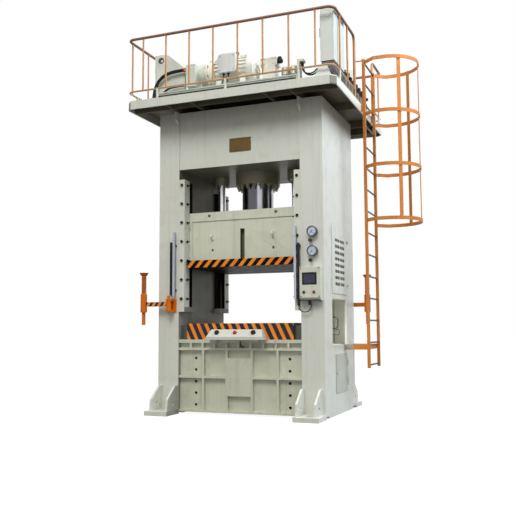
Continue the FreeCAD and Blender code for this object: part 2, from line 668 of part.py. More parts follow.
# ---- slide ----
def slide():
    """Slide block with a proud top strip, a middle groove, hooks and four guide shoes."""
    half = SLIDE_DEPTH / 2
    web = half - SLIDE_RECESS
    strip = SLIDE_Z1 - SLIDE_STRIP
    body = [box(-SLIDE_HALF, SLIDE_HALF, -web, web, SLIDE_Z0, SLIDE_Z1),
            box(-SLIDE_HALF, SLIDE_HALF, -half, half, strip, SLIDE_Z1)]
    shoe_x = UPRIGHT_INNER - GIB_WEB - GUIDE_CLEARANCE
    shoe_y = HALF_DEPTH - GIB_FLANGE_DEPTH - GUIDE_CLEARANCE
    for y0, y1 in ((-shoe_y, -shoe_y + SHOE_LENGTH), (shoe_y - SHOE_LENGTH, shoe_y)):
        body.append(box(-shoe_x, -SLIDE_HALF, y0, y1, SLIDE_Z0, SLIDE_Z1))
        body.append(box(SLIDE_HALF, shoe_x, y0, y1, SLIDE_Z0, SLIDE_Z1))
    tools = [box(-SLIDE_GROOVE / 2, SLIDE_GROOVE / 2, -web, -web + SLIDE_GROOVE_DEPTH,
                 SLIDE_Z0, SLIDE_GROOVE_TOP)]
    for x0, x1 in ((-SLIDE_HALF + SLIDE_WALL, -SLIDE_SEAT), (SLIDE_SEAT, SLIDE_HALF - SLIDE_WALL)):
        tools.append(box(x0, x1, -web + SLIDE_WEB, web - SLIDE_WEB, SLIDE_Z0 + SLIDE_WALL,
                         SLIDE_Z1 - SLIDE_WALL))
    hook_thickness = 24.0
    for side in (-1, 1):
        lift = (side * LIFT_HOLE_X, SLIDE_Z1 - LIFT_HOLE_DROP)
        tools.append(rod((lift[0], -half, lift[1]), (lift[0], -half + 60, lift[1]), 44))
        x = side * HOOK_X
        tools.append(rod((x, -web, HOOK_HOLE_Z), (x, -web + 60, HOOK_HOLE_Z), 36))
        outline = [(-web, HOOK_Z - 45), (-web - 20, HOOK_Z - 45), (-web - 55, HOOK_Z),
                   (-web - 55, HOOK_Z + 35), (-web, HOOK_Z + 35)]
        body.append(prism_x(outline, x - hook_thickness / 2, x + hook_thickness / 2))
    save("slide_body", cut(join(body), tools))
    bottom = SLIDE_Z0 - SLIDE_PLATE_HEIGHT
    plate = box(-SLIDE_PLATE_HALF, SLIDE_PLATE_HALF, -SLIDE_PLATE_DEPTH / 2, SLIDE_PLATE_DEPTH / 2,
                bottom, SLIDE_Z0)
    save("slide_bottom_plate", cut(plate, slots(SLIDE_PLATE_HALF, bottom, 1)))


# ---- cylinders ----
def cylinder(x, bore, barrel, flange, flange_height, circle, count, size):
    """A barrel let into the crown from below, its flange and the flange's bolts."""
    low = CROWN_BOTTOM - flange_height
    outside = join([rod((x, 0, CROWN_BOTTOM), (x, 0, BARREL_TOP), barrel),
                    rod((x, 0, low), (x, 0, CROWN_BOTTOM), flange)])
    body = outside.cut(rod((x, 0, low), (x, 0, BARREL_TOP - BARREL_END), bore))
    heads = []
    for number in range(count):
        angle = 2 * math.pi * (number + 0.5) / count
        place = (x + circle / 2 * math.cos(angle), circle / 2 * math.sin(angle))
        nut = hexagon((*place, low), (*place, low - 0.8 * size), 1.5 * size)
        stud = rod((*place, low - 0.8 * size), (*place, low - 1.6 * size), size)
        heads.append(join([nut, stud]))
    return [body] + heads


def cylinders():
    pieces = cylinder(0, PLUNGER_DIAMETER + 2 * ROD_CLEARANCE, MAIN_BARREL, MAIN_FLANGE_DIAMETER,
                      MAIN_FLANGE_HEIGHT, MAIN_BOLT_CIRCLE, MAIN_BOLT_COUNT, MAIN_BOLT_SIZE)
    for x in (-ROD_X, ROD_X):
        pieces += cylinder(x, ROD_DIAMETER + 2 * ROD_CLEARANCE, ROD_BARREL, ROD_FLANGE_DIAMETER,
                           ROD_FLANGE_HEIGHT, ROD_BOLT_CIRCLE, ROD_BOLT_COUNT, ROD_BOLT_SIZE)
    save("cylinders", pieces)
    save("main_plunger", rod((0, 0, SLIDE_Z1), (0, 0, PLUNGER_TOP), PLUNGER_DIAMETER))
    save("side_rods", [rod((x, 0, SLIDE_Z1), (x, 0, PLUNGER_TOP), ROD_DIAMETER) for x in (-ROD_X, ROD_X)])


# ---- deck ----
def deck_outline(inset):
    """Deck outline with its four cut corners, moved in by an inset."""
    x = DECK_HALF - inset
    y0 = DECK_FRONT + inset
    y1 = DECK_REAR - inset
    c = DECK_CHAMFER - inset * (2 - math.sqrt(2))
    return [(-x, y0 + c), (-x + c, y0), (x - c, y0), (x, y0 + c),
            (x, y1 - c), (x - c, y1), (-x + c, y1), (-x, y1 - c)]


def deck():
    """Chequer plate on mitred rim flats and on ribs that rest on the frame's top."""
    under = DECK_TOP - DECK_PLATE
    outer = deck_outline(0)
    inner = deck_outline(DECK_RIM)
    pieces = [prism_z(outer, under, DECK_TOP)]
    for number in range(len(outer)):
        last = number - 1
        pieces.append(prism_z([outer[last], outer[number], inner[number], inner[last]], FRAME_TOP, under))
    inside = (DECK_HALF - DECK_RIM, DECK_FRONT + DECK_RIM, DECK_REAR - DECK_RIM)
    long_ribs = []
    for x in (-UPRIGHT_INNER, -DECK_RIB_X, DECK_RIB_X, UPRIGHT_INNER):
        long_ribs.append(box(x - DECK_RIM / 2, x + DECK_RIM / 2, inside[1], inside[2], FRAME_TOP, under))
    cross = HALF_DEPTH + DECK_CROSS_RIB
    for y in (-cross, 0, cross, cross + 2 * DECK_CROSS_RIB):
        rib = box(-inside[0], inside[0], y - DECK_RIM / 2, y + DECK_RIM / 2, FRAME_TOP, under)
        pieces += rib.cut(long_ribs).Solids
    save("deck_platform", pieces + long_ribs)


RAIL_X = DECK_HALF - RAIL_INSET
RAIL_FRONT = DECK_FRONT + RAIL_INSET
RAIL_REAR = DECK_REAR - RAIL_INSET


def rail_tube(points, diameter):
    """A rail bent where it turns."""
    return bent_tube([V(*point) for point in points], [RAIL_BEND] * (len(points) - 2), diameter)


def rail_post(x, y):
    return rod((x, y, RAIL_LOW), (x, y, RAIL_TOP), RAIL_POST_TUBE)


def rail_foot(x, y):
    """Short stub that carries the low rail."""
    return rod((x, y, DECK_TOP), (x, y, RAIL_LOW), RAIL_FOOT)


def rail_panel(name, corners, posts, feet):
    """Two rails through the corners, with posts between them and stubs under them, coped to fit.

    At the last corner the top rail bends down to the deck and is the end post.
    """
    top = rail_tube([(x, y, RAIL_TOP) for x, y in corners] + [(*corners[-1], DECK_TOP)], RAIL_TUBE)
    low = rail_tube([(x, y, RAIL_LOW) for x, y in corners], RAIL_LOW_TUBE).cut(top)
    uprights_and_stubs = [rail_post(*place) for place in posts] + [rail_foot(*place) for place in feet]
    save(name, [top, low] + [cut(piece, [top, low]) for piece in uprights_and_stubs])


def guard_rails():
    """A front run that goes on along the right side to the ladder's gate, and the rest from there round."""
    front_y = RAIL_FRONT + RAIL_RETURN
    foot_y = DECK_FRONT + RAIL_FOOT_FRONT
    posts = [((number - 3.5) * RAIL_PITCH, RAIL_FRONT) for number in range(8)]
    side = [(RAIL_X, GATE_Y0 - (number + 1) * RAIL_SIDE_PITCH) for number in range(2)]
    rail_panel("guard_rail_front",
               [(-RAIL_X, front_y), (-RAIL_X, RAIL_FRONT), (RAIL_X, RAIL_FRONT), (RAIL_X, GATE_Y0)],
               posts + side,
               [(-RAIL_FOOT_X, RAIL_FRONT), (0, RAIL_FRONT), (RAIL_FOOT_X, RAIL_FRONT), (RAIL_X, foot_y)])
    left = [(-RAIL_X, front_y + RAIL_SEAM + number * RAIL_LEFT_PITCH) for number in range(RAIL_LEFT_COUNT)]
    rear = [(x, RAIL_REAR) for x, _ in posts]
    rail_panel("guard_rail_rear",
               [(-RAIL_X, front_y), (-RAIL_X, RAIL_REAR), (RAIL_X, RAIL_REAR), (RAIL_X, GATE_Y1)],
               left + rear + [(RAIL_X, RAIL_REAR - RAIL_END_POST)],
               [(-RAIL_X, foot_y + number * RAIL_FOOT_PITCH) for number in range(3)]
               + [(-RAIL_FOOT_X, RAIL_REAR), (0, RAIL_REAR), (RAIL_FOOT_X, RAIL_REAR),
                  (RAIL_X, RAIL_REAR - RAIL_END_POST)])


# ---- ladder ----
def ladder():
    half = LADDER_STILE / 2
    stiles = []
    for y in (LADDER_Y0, LADDER_Y1):
        stiles.append(box(LADDER_X - half, LADDER_X + half, y - half, y + half, LADDER_BOTTOM, LADDER_TOP))
    rungs = []
    for number in range(int((LADDER_TOP - RUNG_Z0) / RUNG_PITCH) + 1):
        z = RUNG_Z0 + number * RUNG_PITCH
        rungs.append(rod((LADDER_X, LADDER_Y0 + half, z), (LADDER_X, LADDER_Y1 - half, z), RUNG_DIAMETER))
    save("ladder", stiles + rungs)


def hoop(z):
    """Flat bar round the cage: flared ends, straight runs and a half circle."""
    middle = (LADDER_Y0 + LADDER_Y1) / 2
    face = LADDER_X + LADDER_STILE / 2
    near = middle - CAGE_RADIUS
    far = middle + CAGE_RADIUS
    low = z - CAGE_BAR_HEIGHT / 2
    points = [V(face - 10, LADDER_Y0, low), V(CAGE_X - CAGE_RUN, near, low), V(CAGE_X, near, low)]
    ends = [V(CAGE_X, far, low), V(CAGE_X - CAGE_RUN, far, low), V(face - 10, LADDER_Y1, low)]
    edges = [Part.LineSegment(a, b).toShape() for a, b in zip(points, points[1:])]
    edges.append(Part.Arc(points[2], V(CAGE_X + CAGE_RADIUS, middle, low), ends[0]).toShape())
    edges += [Part.LineSegment(a, b).toShape() for a, b in zip(ends, ends[1:])]
    band = Part.Wire(edges).makeOffset2D(-CAGE_BAR, 2, True, True)
    bar = band.extrude(V(0, 0, CAGE_BAR_HEIGHT))
    return bar.cut(box(face - 50, face, near, far, low, low + CAGE_BAR_HEIGHT))


def cage():
    middle = (LADDER_Y0 + LADDER_Y1) / 2
    levels = [CAGE_HOOP_Z0 + number * CAGE_HOOP_PITCH for number in range(CAGE_HOOP_COUNT)]
    pieces = [hoop(z) for z in levels]
    half = CAGE_BAR_HEIGHT / 2
    outer = math.sqrt((CAGE_RADIUS - CAGE_BAR) ** 2 - (CAGE_STRIP_WIDTH / 2) ** 2)
    for angle in CAGE_STRIP_ANGLES:
        strip = box(outer - CAGE_BAR, outer, -CAGE_STRIP_WIDTH / 2, CAGE_STRIP_WIDTH / 2,
                    levels[0] - half, levels[-1] + half)
        strip.rotate(V(0, 0, 0), V(0, 0, 1), angle)
        strip.translate(V(CAGE_X, middle, 0))
        pieces.append(strip)
    save("ladder_cage", pieces)


def ladder_brackets():
    """Arms from the upright to the ladder's foot, and short blocks from the deck's rim to its stiles."""
    inner = LADDER_X - LADDER_STILE / 2
    half = LADDER_STILE / 2
    low = BRACKET_Z - BRACKET_HEIGHT / 2
    pieces = [box(inner - BRACKET_WIDTH, inner, LADDER_Y0 - half, LADDER_Y1 + half,
                  low, low + BRACKET_HEIGHT)]
    for y in (BRACKET_Y0, BRACKET_Y1):
        pieces.append(box(UPRIGHT_OUTER, inner - BRACKET_WIDTH, y - BRACKET_WIDTH / 2, y + BRACKET_WIDTH / 2,
                          low, low + BRACKET_HEIGHT))
    for y in (LADDER_Y0, LADDER_Y1):
        pieces.append(box(DECK_HALF, inner, y - half, y + half, FRAME_TOP + 15, DECK_TOP - 15))
    z = LADDER_TOP - 20
    pieces.append(rod((inner, LADDER_Y0, z), (inner - GRAB_STUB, LADDER_Y0, z), GRAB_STUB_DIAMETER))
    save("ladder_brackets", pieces)


# ---- power unit ----
def lifting_lugs():
    outline = [(LUG_OUTER + x, DECK_TOP + z) for x, z in LUG_OUTLINE]
    y0 = LUG_Y - LUG_THICKNESS / 2
    y1 = LUG_Y + LUG_THICKNESS / 2
    hole = (LUG_OUTER + LUG_HOLE_OFFSET[0], DECK_TOP + LUG_HOLE_OFFSET[1])
    lug = prism_y(outline, y0, y1).cut(rod((hole[0], y0, hole[1]), (hole[0], y1, hole[1]), LUG_HOLE))
    save("lifting_lugs", [lug, half_turn(lug)])


def pipe_trough():
    top = DECK_TOP + TROUGH_HEIGHT
    body_top = top - TROUGH_LID - TROUGH_GAP
    inset = 15.0
    save("pipe_trough", join([
        box(TROUGH_X0, TROUGH_X1, TROUGH_Y0, TROUGH_Y1, DECK_TOP, body_top),
        box(TROUGH_X0 + inset, TROUGH_X1 - inset, TROUGH_Y0 + inset, TROUGH_Y1 - inset, body_top, top),
        box(TROUGH_X0, TROUGH_X1, TROUGH_Y0, TROUGH_Y1, top - TROUGH_LID, top)]))


def power_unit():
    tank_top = DECK_TOP + TANK_HEIGHT
    save("oil_tank", box(TANK_X0, TANK_X1, TANK_Y0, TANK_Y1, DECK_TOP, tank_top))
    axis = (SHAFT_Y, SHAFT_Z)
    radius = MOTOR_DIAMETER / 2
    body = rod((MOTOR_X0 + 30, *axis), (MOTOR_X1 - 90, *axis), MOTOR_DIAMETER - 2 * MOTOR_FIN)
    shield = rod((MOTOR_X0, *axis), (MOTOR_X0 + 30, *axis), MOTOR_DIAMETER)
    cowl = rod((MOTOR_X1 - 90, *axis), (MOTOR_X1, *axis), MOTOR_DIAMETER)
    pieces = [body, shield, cowl]
    for number in range(MOTOR_FIN_COUNT):
        fin = box(MOTOR_X0 + 30, MOTOR_X1 - 90, -3, 3, radius - MOTOR_FIN - 4, radius - 1)
        fin.rotate(V(0, 0, 0), V(1, 0, 0), 360 * (number + 0.5) / MOTOR_FIN_COUNT)
        fin.translate(V(0, *axis))
        pieces.append(fin)
    for x in (MOTOR_X0 + 60, MOTOR_X1 - 190):
        for side in (-1, 1):
            y = SHAFT_Y + side * 130
            pieces.append(box(x, x + 80, y - 45, y + 45, tank_top, SHAFT_Z - 130))
    save("motor", join(pieces))
    terminal = box(TERMINAL_X0, TERMINAL_X1, TERMINAL_FRONT, SHAFT_Y - 60, TERMINAL_Z0, TERMINAL_Z1)
    save("terminal_box", terminal.cut(rod((MOTOR_X0, *axis), (MOTOR_X1, *axis), MOTOR_DIAMETER)))
    bell = MOTOR_X0 - BELL_LENGTH
    save("bell_housing", join([rod((bell, *axis), (MOTOR_X0, *axis), BELL_DIAMETER),
                               rod((bell, *axis), (bell + 20, *axis), BELL_DIAMETER + 50)]))
    pump_end = bell - PUMP_LENGTH
    port_y = MAIN_HOSE_Y - 50
    pump = [rod((pump_end, *axis), (bell, *axis), PUMP_DIAMETER),
            box(pump_end, pump_end + 140, port_y, SHAFT_Y, LOW_HOSE_Z - 45, MAIN_HOSE_Z + 48),
            box(pump_end + 60, pump_end + 160, SHAFT_Y - 70, SHAFT_Y + 70, tank_top, SHAFT_Z)]
    save("pump", join(pump))
    fitting_end = pump_end - PORT_LENGTH
    sleeve = tube((MAIN_HOSE_X, MAIN_HOSE_Y, DECK_TOP), (MAIN_HOSE_X, MAIN_HOSE_Y, DECK_TOP + 100),
                  MAIN_HOSE + 32, MAIN_HOSE + 2 * GROMMET_CLEARANCE)
    save("hose_fittings", [
        rod((fitting_end, MAIN_HOSE_Y, MAIN_HOSE_Z), (pump_end, MAIN_HOSE_Y, MAIN_HOSE_Z), MAIN_HOSE + 14),
        rod((fitting_end, LOW_HOSE_Y, LOW_HOSE_Z), (pump_end, LOW_HOSE_Y, LOW_HOSE_Z), LOW_HOSE + 10),
        sleeve])


def hoses():
    pump_end = MOTOR_X0 - BELL_LENGTH - PUMP_LENGTH - PORT_LENGTH
    x, z = MAIN_HOSE_X, MAIN_HOSE_Z
    corners = [(x, DECK_TOP), (x, z - 312), (x + 43, z - 152), (x + 146, z - 44), (x + 308, z), (pump_end, z)]
    pieces = [hose("main hose", [(x, MAIN_HOSE_Y, z) for x, z in corners], MAIN_HOSE)]
    x, z = LOW_HOSE_X, LOW_HOSE_Z
    corners = [(x, DECK_TOP), (x, z - 140), (x + 45, z - 60), (x + 130, z - 10), (x + 250, z), (pump_end, z)]
    pieces.append(hose("low hose", [(x, LOW_HOSE_Y, z) for x, z in corners], LOW_HOSE))
    save("pump_hoses", pieces)
    left, right = STAND_PIPE_X, CABINET_X0 - V_HOSE_RUN
    corners = [(left, STAND_PIPE_Z), (left, V_HOSE_Z), (left + V_HOSE_LEG, V_HOSE_Z - V_HOSE_LEG),
               (right - V_HOSE_LEG, V_HOSE_Z - V_HOSE_LEG), (right, V_HOSE_Z), (CABINET_X0, V_HOSE_Z)]
    pieces = []
    for y in V_HOSE_YS:
        pieces.append(hose("cabinet hose", [(x, y, z) for x, z in corners], V_HOSE))
    save("cabinet_hoses", pieces)


def valves():
    """Valve block on the tank, two filters and the stand pipe of the cabinet's hoses."""
    tank_top = DECK_TOP + TANK_HEIGHT
    neck = 25.0
    pieces = [join([
        box(VALVE_X0 + neck, VALVE_X1 - neck, SHAFT_Y - 80, SHAFT_Y + 80, tank_top, VALVE_Z0),
        box(VALVE_X0, VALVE_X1, SHAFT_Y - 80, SHAFT_Y + 80, VALVE_Z0, VALVE_Z1)])]
    for x in FILTER_XS:
        pieces.append(join([rod((x, SHAFT_Y, DECK_TOP), (x, SHAFT_Y, FILTER_TOP), FILTER_DIAMETER),
                            rod((x, SHAFT_Y, FILTER_TOP - 120), (x, SHAFT_Y, FILTER_TOP - 20),
                                FILTER_DIAMETER + 24)]))
    y0, y1 = V_HOSE_YS[0] - 30, V_HOSE_YS[1] + 30
    top = STAND_PIPE_Z + STAND_PIPE_HEAD
    pieces.append(join([box(STAND_PIPE_X - 25, STAND_PIPE_X + 25, y0, y1, STAND_PIPE_Z, top),
                        box(STAND_PIPE_X - 60, STAND_PIPE_X - 25, y0, y1, DECK_TOP, top)]))
    save("valve_block", pieces)
    blocks = [box(MANIFOLD_X - MANIFOLD_WIDTH / 2, MANIFOLD_X + MANIFOLD_WIDTH / 2,
                  MANIFOLD_Y0, MANIFOLD_Y1, DECK_TOP, DECK_TOP + MANIFOLD_HEIGHT)]
    coils = []
    pitch = (MANIFOLD_Y1 - MANIFOLD_Y0) / MANIFOLD_VALVES
    for number in range(MANIFOLD_VALVES):
        y = MANIFOLD_Y0 + (number + 0.5) * pitch
        top = DECK_TOP + MANIFOLD_HEIGHT
        blocks.append(box(MANIFOLD_X - 32, MANIFOLD_X + 32, y - 45, y + 45, top, top + 110))
        coils.append(rod((MANIFOLD_X, y, top + 110), (MANIFOLD_X, y, top + 240), 56))
    save("valve_manifold", [join(blocks)] + coils)


def cabinet():
    """Electrical cabinet on a stand, with a plate in front and a door in its inner side."""
    x0, x1, y0, y1 = CABINET_X0, CABINET_X1, CABINET_Y0, CABINET_Y1
    sheet = CABINET_SHEET
    low, high = CABINET_DOOR_Z0, CABINET_Z1 - CABINET_MARGIN
    shell = box(x0, x1, y0, y1, CABINET_Z0, CABINET_Z1)
    room = box(x0 + sheet, x1 - sheet, y0 + sheet, y1 - sheet, low + sheet, high - sheet)
    mouth = box(x0, x0 + sheet, y0 + 1.5 * sheet, y1 - 1.5 * sheet, low + sheet, high - sheet)
    stand = box(x0 + 12, x1 - 12, y0 + 12, y1 - 12, DECK_TOP, CABINET_Z0)
    skirt = prism_y([(x0 + x, DECK_TOP + z) for x, z in SKIRT_OUTLINE], y0 - SKIRT_GAP - 12, y0 - SKIRT_GAP)
    face = x0 - DOOR_CLEARANCE
    hinge = (face - DOOR_THICKNESS, y1 - CABINET_MARGIN)
    pin = [rod((*hinge, low - KNUCKLE_HEIGHT), (*hinge, high + KNUCKLE_HEIGHT), HINGE_PIN)]
    for z in (low - KNUCKLE_HEIGHT, high + END_GAP):
        top = z + KNUCKLE_HEIGHT - END_GAP
        pin.append(rod((*hinge, z), (*hinge, top), HINGE_BARREL))
        pin.append(box(hinge[0], x0, hinge[1] - 5, hinge[1] + 5, z, top))
    save("electrical_cabinet", [join([cut(shell, [room, mouth])] + pin), stand, skirt])
    door = box(face - DOOR_THICKNESS, face, y0 + CABINET_MARGIN, hinge[1], low, high)
    barrel = rod((*hinge, low), (*hinge, high), HINGE_BARREL)
    handle = box(hinge[0] - 14, hinge[0], y0 + 45, y0 + 65, low + 170, low + 290)
    bore = rod((*hinge, low), (*hinge, high), HINGE_PIN + 2 * HINGE_FIT)
    save("cabinet_door", cut(join([door, barrel, handle]), [bore]))


# ---- doors ----
def knuckles(y, z, towards):
    """A hinge on the right side wall: wall knuckles with their pin, and the door's barrel and tab.

    towards is +1 where the door lies on the +Y side of the hinge and -1 where it lies on the other.
    """
    x = UPRIGHT_OUTER + DOOR_CLEARANCE + DOOR_THICKNESS
    y -= towards * LEAF_REVEAL
    wall = [rod((x, y, z - 2 * HINGE_HALF), (x, y, z + 2 * HINGE_HALF), HINGE_PIN)]
    for low, high in ((z - 2 * HINGE_HALF, z - HINGE_HALF - END_GAP),
                      (z + HINGE_HALF + END_GAP, z + 2 * HINGE_HALF)):
        wall.append(rod((x, y, low), (x, y, high), HINGE_BARREL))
        wall.append(box(UPRIGHT_OUTER, x, y - 5, y + 5, low, high))
    edges = sorted((y, y + towards * LEAF_REVEAL))
    barrel = join([rod((x, y, z - HINGE_HALF), (x, y, z + HINGE_HALF), HINGE_BARREL),
                   box(x - DOOR_THICKNESS, x, *edges, z - HINGE_HALF, z + HINGE_HALF)])
    bore = rod((x, y, z - HINGE_HALF), (x, y, z + HINGE_HALF), HINGE_PIN + 2 * HINGE_FIT)
    return join(wall), barrel.cut(bore)


def hinge_zs(z0, z1):
    return (z0 + HINGE_INSET, z1 - HINGE_INSET)


def wall_knuckles():
    """The wall's half of all the doors' hinges."""
    pieces = [knuckles(VENT_Y0, z, 1)[0] for z in hinge_zs(VENT_Z0, VENT_Z1)]
    return pieces + [knuckles(HATCH_Y1, z, -1)[0] for z in hinge_zs(HATCH_Z0, HATCH_Z1)]


def door_leaf(y0, y1, z0, z1, hinge_y, towards):
    x = UPRIGHT_OUTER + DOOR_CLEARANCE
    leaf = [box(x, x + DOOR_THICKNESS, y0, y1, z0, z1)]
    return leaf + [knuckles(hinge_y, z, towards)[1] for z in hinge_zs(z0, z1)]


def doors():
    face = UPRIGHT_OUTER + DOOR_CLEARANCE + DOOR_THICKNESS
    pieces = door_leaf(VENT_Y0, VENT_Y1, VENT_Z0, VENT_Z1, VENT_Y0, 1)
    for z in LATCH_ZS:
        y = VENT_Y1 - 30
        pieces.append(rod((face, y, z), (face + 12, y, z), LATCH_DIAMETER))
        pieces.append(box(face + 12, face + 22, y - 6, y + 6, z - 22, z + 22))
    pitch = (GRILLE_Z1 - GRILLE_Z0 - GRILLE_SLOT_HEIGHT) / (GRILLE_ROWS - 1)
    grille = []
    for row in range(GRILLE_ROWS):
        z = GRILLE_Z0 + row * pitch
        for y in GRILLE_SLOTS:
            grille.append(box(UPRIGHT_OUTER, face, y, y + GRILLE_SLOT, z, z + GRILLE_SLOT_HEIGHT))
    save("vent_door", cut(join(pieces), grille))
    pieces = door_leaf(HATCH_Y0, HATCH_Y1, HATCH_Z0, HATCH_Z1, HATCH_Y1, -1)
    pieces.append(rod((face, HATCH_Y0 + 35, LOCK_Z), (face + 10, HATCH_Y0 + 35, LOCK_Z), LATCH_DIAMETER))
    save("lower_door", join(pieces))


# ---- plate, gauges and panel on the front ----
def name_plate():
    """Bare plate with a raised frame."""
    back = -HALF_DEPTH + CROWN_RECESS
    front = back - NAME_THICKNESS
    plate = box(NAME_X0, NAME_X1, front, back, NAME_Z0, NAME_Z1)
    field = box(NAME_X0 + NAME_FRAME, NAME_X1 - NAME_FRAME, front, front + NAME_THICKNESS / 2,
                NAME_Z0 + NAME_FRAME, NAME_Z1 - NAME_FRAME)
    save("name_plate", plate.cut(field))


def gauges():
    """Two dial gauges with turning needles, each with a shut-off valve and its knob."""
    face = -HALF_DEPTH
    front = face - GAUGE_DEPTH
    dial = front + GAUGE_DIAL_DEPTH
    cases = []
    for name, z, knob_z in zip(("upper", "lower"), GAUGE_ZS, KNOB_ZS):
        case = rod((GAUGE_X, face, z), (GAUGE_X, front, z), GAUGE_DIAMETER)
        case = case.cut(rod((GAUGE_X, dial, z), (GAUGE_X, front, z), GAUGE_DIAMETER - 2 * GAUGE_RIM))
        cases.append(join([case, rod((GAUGE_X, dial, z), (GAUGE_X, front + 2, z), NEEDLE_PIN)]))
        near = dial - END_GAP
        far = near - 3
        needle = join([rod((GAUGE_X, near, z), (GAUGE_X, far, z), 4 * NEEDLE_PIN),
                       prism_y([(GAUGE_X - 4, z), (GAUGE_X + 4, z), (GAUGE_X + 1, z + NEEDLE_LENGTH),
                                (GAUGE_X - 1, z + NEEDLE_LENGTH)], far, near)])
        needle = needle.cut(rod((GAUGE_X, near, z), (GAUGE_X, far, z), NEEDLE_PIN + 2 * HINGE_FIT))
        needle.rotate(V(GAUGE_X, far, z), V(0, 1, 0), -135)
        save("gauge_needle_" + name, needle)
        boss_end = face - KNOB_STANDOFF
        boss = rod((KNOB_X, face, knob_z), (KNOB_X, boss_end, knob_z), KNOB_DIAMETER / 2)
        stem = KNOB_DIAMETER / 5
        cases.append(boss.cut(rod((KNOB_X, boss_end + 20, knob_z), (KNOB_X, boss_end, knob_z),
                                  stem + 2 * HINGE_FIT)))
        knob = [rod((KNOB_X, boss_end - END_GAP, knob_z), (KNOB_X, boss_end - 24, knob_z), KNOB_DIAMETER),
                rod((KNOB_X, boss_end + 18, knob_z), (KNOB_X, boss_end - 10, knob_z), stem)]
        notches = []
        for number in range(6):
            angle = math.radians(60 * number)
            x = KNOB_X + KNOB_DIAMETER * 0.56 * math.cos(angle)
            z_notch = knob_z + KNOB_DIAMETER * 0.56 * math.sin(angle)
            notches.append(rod((x, boss_end, z_notch), (x, boss_end - 24, z_notch), KNOB_DIAMETER / 4))
        save("gauge_valve_" + name, cut(join(knob), notches))
    save("gauges", cases)


def push_button(name, place, inwards, stem, cap, thickness, travel):
    """Mushroom button: a stem in a blind hole and a domed cap that stops clear of the face."""
    place = V(*place)
    inwards = V(*inwards)
    base = place - inwards * (travel + 1)
    tip = base - inwards * thickness
    head = Part.makeCylinder(cap / 2, thickness, base, inwards * -1)
    rim = [edge for edge in head.Edges if edge.BoundBox.Center.distanceToPoint(tip) < 0.01]
    head = head.makeFillet(thickness * 0.45, rim)
    shaft = Part.makeCylinder(stem / 2, travel + 21, base, inwards)
    save(name, join([head, shaft]))


def button_hole(place, inwards, stem, travel):
    return Part.makeCylinder(stem / 2 + BUTTON_CLEARANCE, travel + 26, V(*place), V(*inwards))


def operator_panel():
    """Box with a screen and two buttons on the right upright's face, with a plug under it."""
    back = -HALF_DEPTH
    front = back - PANEL_DEPTH
    case = prism_x([(back, PANEL_Z0), (front + 25, PANEL_Z0), (front, PANEL_Z0 + 35), (front, PANEL_Z1),
                    (back, PANEL_Z1)], PANEL_X0, PANEL_X1)
    tools = [box(SCREEN_X0, SCREEN_X1, front, front + SCREEN_THICKNESS, SCREEN_Z0, SCREEN_Z1)]
    for x in (GREEN_X, RED_X):
        tools.append(button_hole((x, front, BUTTON_Z), (0, 1, 0), BUTTON_STEM, BUTTON_TRAVEL))
    middle = (PANEL_X0 + PANEL_X1) / 2 - 20
    plug = rod((middle, back - 45, PANEL_Z0), (middle, back - 45, PANEL_Z0 - 55), 42)
    save("operator_panel", [cut(case, tools), plug])
    save("panel_screen", box(SCREEN_X0, SCREEN_X1, front, front + SCREEN_THICKNESS, SCREEN_Z0, SCREEN_Z1))
    push_button("green_button", (GREEN_X, front, BUTTON_Z), (0, 1, 0), BUTTON_STEM, BUTTON_CAP, 9,
                BUTTON_TRAVEL)
    push_button("red_button", (RED_X, front, BUTTON_Z), (0, 1, 0), BUTTON_STEM, BUTTON_CAP, 9,
                BUTTON_TRAVEL)


